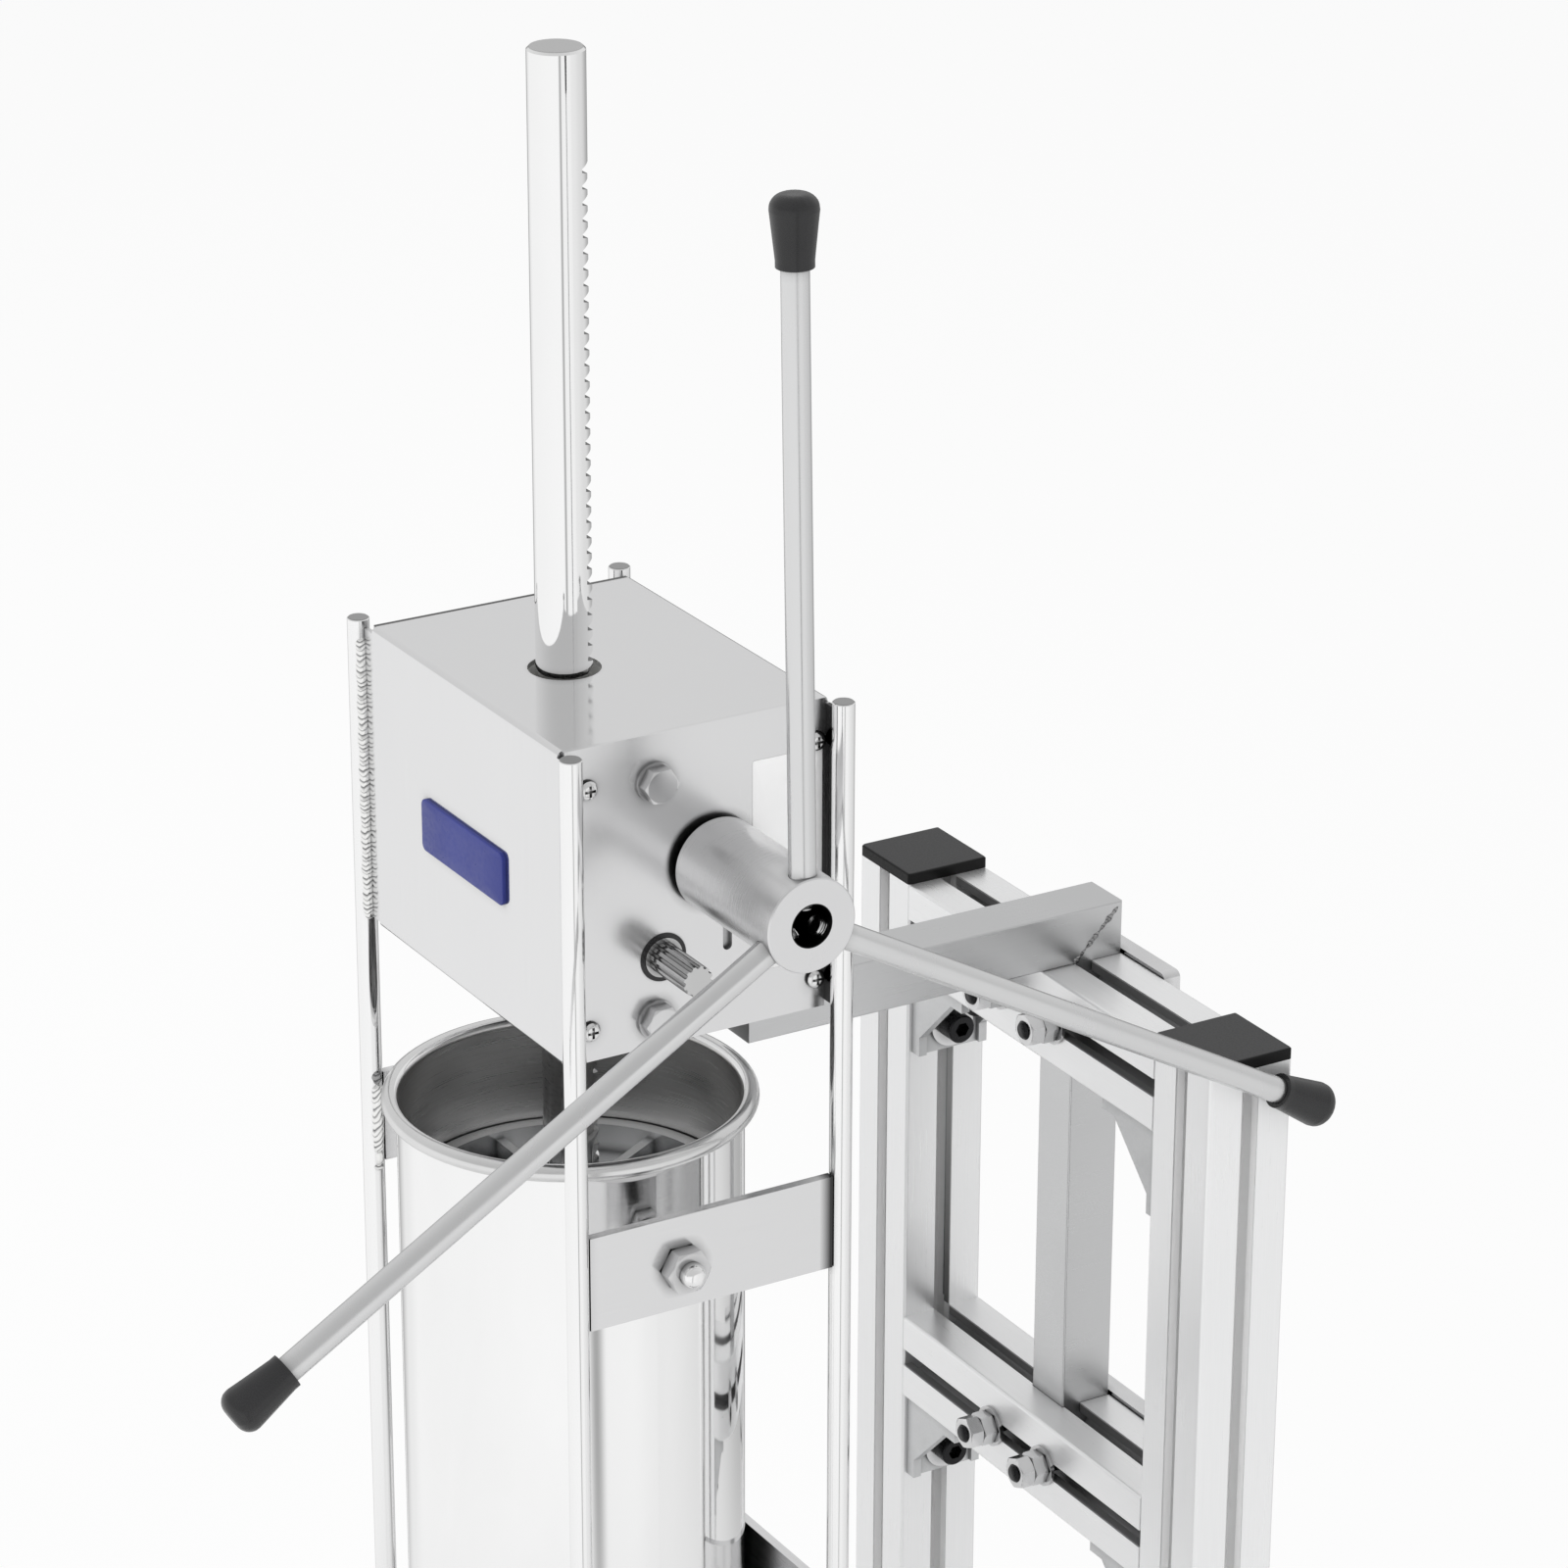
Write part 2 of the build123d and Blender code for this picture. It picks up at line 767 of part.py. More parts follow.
def build_cover_screws():
    """Four pan-head screws with a cross recess."""
    with BuildPart() as screw:
        with BuildSketch(Plane.XZ):
            with BuildLine():
                Line((0, 0), (m4_head / 2, 0))
                Line((m4_head / 2, 0), (m4_head / 2, m4_head_height * 0.4))
                ThreePointArc(
                    (m4_head / 2, m4_head_height * 0.4),
                    (m4_head * 0.38, m4_head_height * 0.82),
                    (m4_head * 0.22, m4_head_height),
                )
                Polyline((m4_head * 0.22, m4_head_height), (0, m4_head_height), (0, 0))
            make_face()
        revolve(axis=Axis.Z)
        disc(Plane.XY.offset(-m4_length), m4 / 2, m4_length)
        with BuildSketch(Plane.XY.offset(m4_head_height)):
            Rectangle(m4_cross, m4_cross_width)
            Rectangle(m4_cross_width, m4_cross)
        extrude(amount=-m4_cross_depth, mode=Mode.SUBTRACT)
    with BuildPart() as screws:
        place(screw.part, [facing_right(cover_face, y, z) for y, z in screw_places()])
    keep(screws, "cover_screws")


def build_guides():
    """Two blocks that guide the rack, tied to both sides by hexagon bolts over washers."""
    for name, low, high in (
        ("upper_rack_guide", upper_guide_bottom, box_ceiling),
        ("lower_rack_guide", box_floor, lower_guide_top),
    ):
        with BuildPart() as guide:
            with BuildSketch(level(low, 0, rack_y)):
                Rectangle(2 * inner_half_width, guide_depth)
                Circle(rack_radius + 2 * running, mode=Mode.SUBTRACT)
            extrude(amount=high - low)
            if high == box_ceiling:
                mouth = level(high - guide_mouth_depth, 0, rack_y)
                hole(mouth, rack_hole / 2, guide_mouth_depth + 1, start=0.0)
            z = guide_bolt_heights[0] if high == box_ceiling else guide_bolt_heights[1]
            from_right = facing_left(inner_half_width, guide_bolt_y, z)
            from_left = facing_right(-inner_half_width, guide_bolt_y, z)
            for plane in (from_right, from_left):
                hole(plane, m8 / 2 + m8_room / 2, guide_bolt_length)
        keep(guide, name)

    outer = []
    for z in guide_bolt_heights:
        outer.append(facing_right(cover_face, guide_bolt_y, z))
        outer.append(facing_left(-cover_face, guide_bolt_y, z))
    with BuildPart() as washers:
        for plane in outer:
            ring(plane, m8_washer / 2, m8 / 2 + m8_room, m8_washer_thick)
    keep(washers, "guide_washers")
    bolt = hex_piece(
        m8_hex, m8_hex_head, shank=m8 / 2, shank_length=m8_washer_thick + guide_bolt_length
    )
    with BuildPart() as bolts:
        place(bolt, [plane.offset(m8_washer_thick) for plane in outer])
    keep(bolts, "guide_bolts")


def build_bearings():
    """The inner bearing plate, the flanged bushes of both shafts and the black rings in the cover."""
    inner_face = bearing_plate_x - bearing_plate_thick / 2
    upper_bore = drive_journal / 2 + running
    lower_bore = lower_journal / 2 + running
    upper_outer = upper_bore + drive_bush_wall
    lower_outer = lower_bore + lower_bush_wall
    middle = (upper_guide_bottom + lower_guide_top) / 2
    with BuildPart() as plate:
        with BuildSketch(facing_right(inner_face, 0, middle)):
            Rectangle(bearing_plate_depth, upper_guide_bottom - lower_guide_top)
        extrude(amount=bearing_plate_thick)
        hole(facing_right(inner_face, drive_axis_y, drive_axis_z), upper_outer, bearing_plate_thick + 1)
        hole(facing_right(inner_face, lower_axis_y, lower_axis_z), lower_outer, bearing_plate_thick + 1)
    keep(plate, "bearing_plate")

    def bush(plane, outer, bore, length, flange_start):
        """Add one flanged sleeve; the flange starts at a distance along the plane's normal."""
        ring(plane, outer, bore, length)
        ring(plane.offset(flange_start), outer + bush_flange, bore, bush_flange_thick)

    body = bush_length + bush_proud
    bush_start = cover_face + bush_proud - body
    behind_wall = bush_length - sheet - bush_flange_thick
    inner_body = bearing_plate_thick + bush_flange_thick
    upper_axis = (drive_axis_y, drive_axis_z)
    lower_axis = (lower_axis_y, lower_axis_z)
    with BuildPart() as upper:
        for plane in (facing_right(bush_start, *upper_axis), facing_left(-bush_start, *upper_axis)):
            bush(plane, upper_outer, upper_bore, body, behind_wall)
        bush(facing_right(inner_face, *upper_axis), upper_outer, upper_bore, inner_body, bearing_plate_thick)
    keep(upper, "drive_bushes")
    with BuildPart() as lower:
        bush(facing_right(bush_start, *lower_axis), lower_outer, lower_bore, body, behind_wall)
        bush(facing_right(inner_face, *lower_axis), lower_outer, lower_bore, inner_body, bearing_plate_thick)
    keep(lower, "lower_bushes")
    with BuildPart() as seals:
        for axis, outer in ((upper_axis, upper_outer), (lower_axis, lower_outer)):
            ring(facing_right(inner_half_width, *axis), outer + seal_wall, outer, sheet + seal_proud)
    keep(seals, "shaft_rings")


# ---------------------------------------------------------------- gears, shafts and rack


def gear_outline(teeth, first_angle):
    """Points round a spur gear with involute flanks, one tooth centred on the first angle."""
    pitch = gear_module * teeth / 2
    base = pitch * cos(pressure_angle)
    outer = pitch + tooth_above
    root = pitch - tooth_below
    half_at_pitch = pi / 2 / teeth - backlash / 2 / pitch

    def half_angle(radius):
        """Half the angle that a tooth spans at a radius, from the involute function."""
        if radius <= base:
            return half_at_pitch + tan(pressure_angle) - pressure_angle
        slope = acos(base / radius)
        return half_at_pitch + tan(pressure_angle) - pressure_angle - tan(slope) + slope

    start = max(root, base)
    flank = [root] * (root < base) + [start, (start + outer) / 2, outer]
    points = []
    for tooth in range(teeth):
        centre = first_angle + 2 * pi * tooth / teeth
        rising = [(radius, centre - half_angle(radius)) for radius in flank]
        falling = [(radius, centre + half_angle(radius)) for radius in reversed(flank)]
        points += [(radius * cos(angle), radius * sin(angle)) for radius, angle in rising + falling]
    return points


def toothed(plane, teeth, first_angle, width, bore=0.0):
    """Add a gear to the open part."""
    with BuildSketch(plane) as end_face:
        with BuildLine():
            Polyline(*gear_outline(teeth, first_angle), close=True)
        make_face()
        if bore:
            Circle(bore, mode=Mode.SUBTRACT)
    extrude(end_face.sketch, amount=width)


def groove_for_clip(plane, journal):
    """Cut the groove of a retaining clip round a shaft."""
    with BuildSketch(plane) as groove:
        Circle(journal / 2 + 1)
        Circle(journal / 2 - clip_groove, mode=Mode.SUBTRACT)
    extrude(groove.sketch, amount=clip_thick, mode=Mode.SUBTRACT)


def splined_stub(y, z):
    """Add the grooved end of a shaft that the handle slides on to."""
    start = cover_face + bush_proud
    plane = facing_right(start, y, z)
    with BuildSketch(plane) as end_face:
        Circle(lower_journal / 2)
        with PolarLocations(lower_journal / 2, spline_grooves):
            Circle(spline_groove, mode=Mode.SUBTRACT)
    extrude(end_face.sketch, amount=stub_end - start)


def build_shafts():
    """Both shafts with their pinions, the large wheel, its key and the retaining clips."""
    drive_clips = (cover_face - bush_length - clip_thick, -cover_face + bush_length)
    plate_left = bearing_plate_x - bearing_plate_thick / 2
    lower_clips = (cover_face - bush_length - clip_thick, plate_left - clip_thick)
    key_z = drive_axis_z + drive_journal / 2
    with BuildPart() as drive:
        journal_start = -cover_face
        length = cover_face + bush_proud - journal_start
        disc(facing_right(journal_start, drive_axis_y, drive_axis_z), drive_journal / 2, length)
        toothed(facing_right(-pinion_width / 2, drive_axis_y, drive_axis_z), pinion_teeth, pi, pinion_width)
        splined_stub(drive_axis_y, drive_axis_z)
        for x in drive_clips:
            groove_for_clip(facing_right(x, drive_axis_y, drive_axis_z), drive_journal)
        with BuildSketch(facing_right(gear_x - gear_width / 2, drive_axis_y, key_z)):
            Rectangle(key_size, key_size)
        extrude(amount=gear_width, mode=Mode.SUBTRACT)
    keep(drive, "drive_shaft")

    with BuildPart() as wheel:
        start = facing_right(gear_x - gear_width / 2, drive_axis_y, drive_axis_z)
        toothed(start, wheel_teeth, lower_shaft_direction, gear_width, drive_journal / 2 + running)
        with BuildSketch(facing_right(gear_x - gear_width / 2, drive_axis_y, key_z)):
            Rectangle(key_size, key_size)
        extrude(amount=gear_width, mode=Mode.SUBTRACT)
    keep(wheel, "large_wheel")

    with BuildPart() as key:
        with BuildSketch(facing_right(gear_x - gear_width / 2, drive_axis_y, key_z)):
            Rectangle(key_size, key_size)
        extrude(amount=gear_width)
    keep(key, "wheel_key")

    with BuildPart() as lower:
        length = cover_face + bush_proud - lower_shaft_inner
        disc(facing_right(lower_shaft_inner, lower_axis_y, lower_axis_z), lower_journal / 2, length)
        gap_to_wheel = lower_shaft_direction - pi + pi / pinion_teeth
        start = facing_right(gear_x - gear_width / 2, lower_axis_y, lower_axis_z)
        toothed(start, pinion_teeth, gap_to_wheel, gear_width)
        splined_stub(lower_axis_y, lower_axis_z)
        for x in lower_clips:
            groove_for_clip(facing_right(x, lower_axis_y, lower_axis_z), lower_journal)
    keep(lower, "lower_shaft")

    for name, journal, y, z, places in (
        ("drive_clips", drive_journal, drive_axis_y, drive_axis_z, drive_clips),
        ("lower_clips", lower_journal, lower_axis_y, lower_axis_z, lower_clips),
    ):
        inner = journal / 2 - clip_groove
        with BuildPart() as clips:
            for x in places:
                ring(facing_right(x, y, z), inner + clip_wall, inner, clip_thick)
        keep(clips, name)


def build_rack():
    """The round rack: a polished bar with straight-flanked teeth along its back, and a threaded end."""
    tip = rack_pitch_line + tooth_above
    root = rack_pitch_line - tooth_below
    tip_half = tooth_pitch / 4 + tooth_above * tan(pressure_angle) + backlash / 4
    root_half = tooth_pitch / 4 - tooth_below * tan(pressure_angle) + backlash / 4
    beyond = rack_radius + 1
    low = drive_axis_z - teeth_below_axis * tooth_pitch - tip_half
    high = drive_axis_z + teeth_above_axis * tooth_pitch + tip_half
    with BuildPart() as rack:
        disc(level(rack_bottom, 0, rack_y), rack_radius, rack_top - rack_bottom)
        chamfer(rack.faces().sort_by(Axis.Z)[-1].edges(), rack_edge)
        tooth_space = ((root, -root_half), (tip, -tip_half), (tip, tip_half), (root, root_half))
        with BuildSketch(facing_right(0, rack_y, 0)):
            with Locations(((tip + beyond) / 2, (low + high) / 2)):
                Rectangle(beyond - tip, high - low)
            for tooth in range(-teeth_below_axis, teeth_above_axis + 1):
                with Locations((0, drive_axis_z + tooth * tooth_pitch)):
                    Polygon(*tooth_space, align=None)
        extrude(amount=beyond, both=True, mode=Mode.SUBTRACT)
        disc(level(rack_bottom, 0, rack_y), rack_stud / 2, piston_bottom + 0.5 - rack_bottom)
    keep(rack, "rack")


# ---------------------------------------------------------------- handle


def build_handle():
    """The hub that slips over either grooved stub, its three spokes and their knobs."""
    socket_end = hub_inner_x + hub_socket
    with BuildPart() as grip:
        disc(facing_right(hub_inner_x, drive_axis_y, drive_axis_z), hub / 2, hub_length)
        chamfer(grip.faces().filter_by(Axis.X).edges(), hub_edge)
        with BuildSketch(facing_right(hub_inner_x - 1, drive_axis_y, drive_axis_z)):
            Circle(lower_journal / 2 + spline_play)
            with PolarLocations(lower_journal / 2, spline_grooves):
                Circle(spline_groove - spline_play, mode=Mode.SUBTRACT)
        extrude(amount=hub_socket + 2, mode=Mode.SUBTRACT)
        hole(facing_right(socket_end, drive_axis_y, drive_axis_z), hub_mouth / 2, hub_length, start=0.0)
        for angle in spoke_angles:
            hole(out_along(angle, hub_mouth / 2 - 1, spoke_x), spoke_thread / 2 + spoke_fit, hub, start=0.0)
            hole(out_along(angle, hub / 2 - spoke_seat, spoke_x), spoke / 2 + spoke_fit, hub, start=0.0)
    keep(grip, "hub")

    seat = hub / 2 - spoke_seat
    inner_end = hub_mouth / 2 - spoke_into_bore
    for angle, name in zip(spoke_angles, ("upper_spoke", "front_spoke", "rear_spoke")):
        with BuildPart() as arm_of_handle:
            disc(out_along(angle, seat, spoke_x), spoke / 2, knob_start + knob_grip - seat)
            disc(out_along(angle, inner_end, spoke_x), spoke_thread / 2, seat - inner_end)
        keep(arm_of_handle, name)

    with BuildPart() as knob:
        with BuildSketch(Plane.XZ):
            with BuildLine():
                Polyline(
                    (knob_flat / 2, knob_length),
                    (0, knob_length),
                    (0, 0),
                    (knob_neck / 2, 0),
                    (knob_neck / 2, knob_lip),
                    (knob_head / 2, knob_shoulder),
                )
                ThreePointArc(
                    (knob_head / 2, knob_shoulder),
                    (0.36 * knob_head + 0.14 * knob_flat, knob_length - 0.25 * (knob_length - knob_shoulder)),
                    (knob_flat / 2, knob_length),
                )
            make_face()
        revolve(axis=Axis.Z)
        hole(Plane.XY, spoke / 2 + spoke_fit, knob_grip + spoke_fit)
    with BuildPart() as knobs:
        place(knob.part, [out_along(angle, knob_start, spoke_x) for angle in spoke_angles])
    keep(knobs, "knobs")


# ---------------------------------------------------------------- frame of rods and straps


def build_rods():
    """Four round uprights that tie the gearbox to the seat plate."""
    for side, side_name in ((-1, "left"), (1, "right")):
        for end, end_name in ((-1, "front"), (1, "rear")):
            with BuildPart() as upright:
                disc(level(seat_bottom, side * rod_x, end * rod_y), rod / 2, rod_top - seat_bottom)
                chamfer(upright.faces().sort_by(Axis.Z)[-1].edges(), rod_edge)
            keep(upright, f"{end_name}_{side_name}_rod")


def build_straps():
    """Flat straps between the rods: two at the sides for the cylinder's pivots and one behind it."""
    reach_y = rod_y - rod / 2 - wall_to_rod
    reach_x = rod_x - rod / 2 - wall_to_rod
    strap_middle = side_strap_top - strap_height / 2
    for side, name in ((-1, "left_strap"), (1, "right_strap")):
        with BuildPart() as strap:
            with BuildSketch(facing_right(side * rod_x, 0, strap_middle)):
                Rectangle(2 * reach_y, strap_height)
            extrude(amount=strap_thick / 2, both=True)
            hole(facing_right(side * rod_x - strap_thick / 2, rack_y, pivot_height),
                 pivot_screw / 2 + thread_play, strap_thick + 1)
        keep(strap, name)
    with BuildPart() as rear:
        with BuildSketch(facing_front(rod_y, 0, rear_strap_top - strap_height / 2)):
            Rectangle(2 * reach_x, strap_height)
        extrude(amount=strap_thick / 2, both=True)
    keep(rear, "rear_strap")


def build_pivots():
    """Domed screws through the side straps that hold the cylinder, each locked by a nut on both sides."""
    with BuildPart() as screw:
        length = rod_x + strap_thick / 2 + pivot_proud - cylinder_radius - seal_play
        disc(Plane.XY, pivot_screw / 2, length)
        fillet(screw.faces().sort_by(Axis.Z)[-1].edges(), pivot_dome)
    start = cylinder_radius + seal_play
    outward = [facing_right(start, rack_y, pivot_height), facing_left(-start, rack_y, pivot_height)]
    with BuildPart() as screws:
        place(screw.part, outward)
    keep(screws, "pivot_screws")
    nut = hex_piece(m10_hex, m10_nut_height, bore=pivot_screw / 2 + thread_play)
    outer_nut = rod_x + strap_thick / 2 - start
    inner_nut = rod_x - strap_thick / 2 - start - m10_nut_height
    with BuildPart() as nuts:
        place(nut, [plane.offset(outer_nut) for plane in outward])
        place(nut, [plane.offset(inner_nut) for plane in outward])
    keep(nuts, "pivot_nuts")


def build_seat():
    """The plate under the cylinder, open at the front so that the neck can swing out."""
    with BuildPart() as seat:
        with BuildSketch(level(seat_bottom)):
            reach_x = rod_x + rod / 2 + seat_margin
            reach_y = rod_y + rod / 2 + seat_margin
            RectangleRounded(2 * reach_x, 2 * reach_y, seat_corner)
            with Locations((0, rack_y)):
                Circle(neck / 2 + neck_play, mode=Mode.SUBTRACT)
            with Locations((0, rack_y - reach_y)):
                Rectangle(neck + 2 * neck_play, 2 * reach_y, mode=Mode.SUBTRACT)
            with GridLocations(2 * rod_x, 2 * rod_y, 2, 2):
                Circle(rod / 2 + wall_to_rod, mode=Mode.SUBTRACT)
        extrude(amount=seat_thick)
    keep(seat, "seat_plate")


# ---------------------------------------------------------------- cylinder, piston and nozzle


def turned_plane():
    """The upright plane through the rack's axis, in which turned pieces are drawn."""
    return facing_front(rack_y)


def turned_axis():
    """The rack's axis, which the cylinder, the piston and the nozzle share."""
    return Axis((middle_x, rack_y, 0), (0, 0, 1))


def build_cylinder():
    """The dough cylinder: a thin tube with a rolled rim, a rounded floor and a short neck."""
    bead = rim_bead / 2
    bead_z = cylinder_rim_top - bead
    outer_round = bottom_round + bottom_thick
    neck_inside = neck / 2 - neck_wall
    bow = 1 - cos(pi / 4)
    with BuildPart() as body:
        with BuildSketch(turned_plane()):
            with BuildLine():
                Line((neck_inside, cylinder_floor), (cylinder_inside - bottom_round, cylinder_floor))
                ThreePointArc(
                    (cylinder_inside - bottom_round, cylinder_floor),
                    (cylinder_inside - bottom_round * bow, cylinder_floor + bottom_round * bow),
                    (cylinder_inside, cylinder_floor + bottom_round),
                )
                Line((cylinder_inside, cylinder_floor + bottom_round), (cylinder_inside, bead_z))
                Line((cylinder_inside, bead_z), (cylinder_radius, bead_z))
                Line((cylinder_radius, bead_z), (cylinder_radius, cylinder_bottom + outer_round))
                ThreePointArc(
                    (cylinder_radius, cylinder_bottom + outer_round),
                    (cylinder_radius - outer_round * bow, cylinder_bottom + outer_round * bow),
                    (cylinder_radius - outer_round, cylinder_bottom),
                )
                Polyline(
                    (cylinder_radius - outer_round, cylinder_bottom),
                    (neck / 2, cylinder_bottom),
                    (neck / 2, neck_end),
                    (neck_inside, neck_end),
                    (neck_inside, cylinder_floor),
                )
            make_face()
            with Locations((cylinder_inside + bead, bead_z)):
                Circle(bead)
        revolve(axis=turned_axis())
    keep(body, "cylinder")


def build_nozzle():
    """The nozzle with its star-shaped mouth, and the ring nut that holds it to the neck."""
    top = neck_end
    under_flange = neck_end - nozzle_flange_thick
    tip_start = nozzle_end + nozzle_tip_length
    with BuildPart() as nozzle:
        with BuildSketch(turned_plane()):
            with BuildLine():
                Polyline(
                    (0, top),
                    (neck / 2, top),
                    (neck / 2, under_flange),
                    (nozzle_shoulder / 2, under_flange),
                    (nozzle_tip / 2, tip_start),
                    (nozzle_tip / 2, nozzle_end),
                    (0, nozzle_end),
                    close=True,
                )
            make_face()
            with BuildLine():
                Polyline(
                    (0, top + 1),
                    (nozzle_shoulder / 2 - nozzle_wall, top + 1),
                    (nozzle_shoulder / 2 - nozzle_wall, under_flange),
                    (nozzle_tip / 2 - nozzle_wall, nozzle_end + nozzle_floor),
                    (0, nozzle_end + nozzle_floor),
                    close=True,
                )
            make_face(mode=Mode.SUBTRACT)
        revolve(axis=turned_axis())
        points = []
        for point in range(2 * star_points):
            radius = (star if point % 2 == 0 else star_valley) / 2
            angle = pi * point / star_points
            points.append((radius * cos(angle), radius * sin(angle)))
        with BuildSketch(level(nozzle_end - 1, 0, rack_y)):
            Polygon(*points, align=None)
        extrude(amount=nozzle_floor + 2, mode=Mode.SUBTRACT)
    keep(nozzle, "nozzle")

    with BuildPart() as ring_nut:
        bottom = under_flange - ring_nut_lip
        with BuildSketch(level(bottom, 0, rack_y)):
            RegularPolygon(ring_nut_width / 2, 6, major_radius=False)
        extrude(amount=ring_nut_height)
        hole(level(under_flange, 0, rack_y), neck / 2 + thread_play, ring_nut_height, start=0.0)
        hole(level(bottom, 0, rack_y), nozzle_shoulder / 2 + thread_play, ring_nut_lip + 1)
    keep(ring_nut, "nozzle_nut")


def build_piston():
    """The piston with its rim, spokes and boss, the seal in its groove and the nut underneath."""
    groove_low = piston_bottom + (piston_height - seal_height) / 2 - seal_groove_play
    groove_high = groove_low + seal_height + 2 * seal_groove_play
    rim_inside = piston_radius - piston_rim
    floor_top = piston_bottom + piston_floor
    with BuildPart() as piston:
        with BuildSketch(turned_plane()):
            with BuildLine():
                Polyline(
                    (0, piston_bottom),
                    (piston_radius, piston_bottom),
                    (piston_radius, groove_low),
                    (groove_radius, groove_low),
                    (groove_radius, groove_high),
                    (piston_radius, groove_high),
                    (piston_radius, piston_top),
                    (rim_inside, piston_top),
                    (rim_inside, floor_top),
                    (boss / 2, floor_top),
                    (boss / 2, rack_bottom),
                    (0, rack_bottom),
                    close=True,
                )
            make_face()
        revolve(axis=turned_axis())
        with BuildSketch(level(floor_top, 0, rack_y)):
            with PolarLocations((boss / 2 + rim_inside) / 2, piston_ribs):
                Rectangle(rim_inside - boss / 2 + 2, rib_thick)
        extrude(amount=piston_top - rib_drop - floor_top)
        hole(level(piston_bottom, 0, rack_y), rack_stud / 2 + thread_play, rack_bottom - piston_bottom + 1)
        recess = m12_hex / 2 / cos(pi / 6) + nut_room
        hole(level(piston_bottom, 0, rack_y), recess, piston_nut_recess)
    keep(piston, "piston")

    with BuildPart() as seal:
        plane = level(groove_low + seal_groove_play, 0, rack_y)
        ring(plane, cylinder_inside - seal_play, groove_radius + seal_groove_play, seal_height)
    keep(seal, "piston_seal")

    nut = hex_piece(m12_hex, piston_nut_height, bore=rack_stud / 2 + thread_play)
    with BuildPart() as stud_nut:
        nut_seat = (middle_x, rack_y, piston_bottom + piston_nut_recess)
        under = Plane(origin=nut_seat, x_dir=(1, 0, 0), z_dir=(0, 0, -1))
        place(nut, [under])
    keep(stud_nut, "piston_nut")


os.makedirs("parts", exist_ok=True)
build_profiles()
build_caps()
build_pads()
build_brackets()
build_arm()
build_block()
build_clamps()
build_shell()
build_side_plates()
build_cover_screws()
build_guides()
build_bearings()
build_shafts()
build_rack()
build_handle()
build_rods()
build_straps()
build_pivots()
build_seat()
build_cylinder()
build_nozzle()
build_piston()
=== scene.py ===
"""Looks of a churro maker: its finishes, welds, threads and plates, with floor, light and camera.

Metres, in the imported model's own frame: +Z up, the front towards -Y and the handle on the +X side.
"""

import json
from math import cos, pi, radians, sin

import bmesh
import bpy
import numpy as np
from mathutils import Matrix, Vector


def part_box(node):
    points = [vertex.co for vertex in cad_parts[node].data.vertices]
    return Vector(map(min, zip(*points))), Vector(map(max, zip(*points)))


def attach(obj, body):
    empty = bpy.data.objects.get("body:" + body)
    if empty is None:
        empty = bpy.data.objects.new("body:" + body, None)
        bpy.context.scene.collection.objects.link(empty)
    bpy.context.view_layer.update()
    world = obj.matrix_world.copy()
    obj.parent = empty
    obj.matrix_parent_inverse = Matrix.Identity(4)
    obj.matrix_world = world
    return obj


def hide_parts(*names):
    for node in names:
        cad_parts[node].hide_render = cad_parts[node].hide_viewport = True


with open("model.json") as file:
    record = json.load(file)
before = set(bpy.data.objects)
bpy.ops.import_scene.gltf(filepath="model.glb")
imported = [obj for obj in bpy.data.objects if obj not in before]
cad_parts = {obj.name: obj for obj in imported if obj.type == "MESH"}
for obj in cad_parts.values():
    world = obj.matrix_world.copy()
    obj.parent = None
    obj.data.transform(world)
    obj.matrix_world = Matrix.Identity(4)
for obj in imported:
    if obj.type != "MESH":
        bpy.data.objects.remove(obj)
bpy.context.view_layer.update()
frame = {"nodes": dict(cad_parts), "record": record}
nodes = frame["nodes"]
slot_of = {row["node"]: row["material_slot"] for row in frame["record"]["subparts"]}

MM = 0.001

# ---------------------------------------------------------------- places taken from the frame


def middle_of(node):
    """The middle of a node's box."""
    low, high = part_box(node)
    return np.array((low + high) / 2)


def low_of(node):
    """The lowest corner of a node's box."""
    return np.array(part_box(node)[0])


def high_of(node):
    """The highest corner of a node's box."""
    return np.array(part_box(node)[1])


machine_x = middle_of("gearbox_shell")[0]
rack_axis = np.array([middle_of("nozzle")[0], middle_of("nozzle")[1], 0.0])
cover_face = high_of("side_cover")[0]
box_front = low_of("gearbox_shell")[1]
box_top = high_of("gearbox_shell")[2]
box_bottom = low_of("gearbox_shell")[2]

# ---------------------------------------------------------------- sizes that the finishes follow

PROFILE_WIDTH = 40 * MM
SLOT_LIP = 0.8 * MM  # how far under a profile's faces the look of its slots begins
# limits of the painted shade in the left post's slot
SLOT_SHADE_SIDE = 10 * MM  # how far from the left post's middle its shaded slot begins
SLOT_SHADE_HEIGHT = 190 * MM  # how far up the shade in that slot fades out
CYLINDER_RADIUS = 70 * MM
CYLINDER_WALL = 1.2 * MM
HUB_BORE_RADIUS = 8.9 * MM
# below this depth a screw's head gets painted shade
SCREW_FACE_DEPTH = 1.3 * MM  # how deep the bright part of a screw's head reaches
TOP_SKIN = 0.3 * MM  # what lies this close under a piece's highest point is its top face
# the reach of the painted corner shade on metals
CORNER_REACH = 5 * MM  # how near another surface has to be to darken a metal

# ---------------------------------------------------------------- shader nodes


def grey(level):
    """A grey of one level."""
    return (level, level, level)


def fill(tree, socket, value):
    """Give an input a plain value, or join another node's output to it."""
    if isinstance(value, bpy.types.NodeSocket):
        tree.links.new(value, socket)
    else:
        socket.default_value = value


def feed(tree, made, **inputs):
    """Fill the inputs of a node by name."""
    for name, value in inputs.items():
        fill(tree, made.inputs[name.replace("_", " ")], value)
    return made


def added(tree, kind, **inputs):
    """A new node of a kind with its inputs filled."""
    return feed(tree, tree.nodes.new(f"ShaderNode{kind}"), **inputs)


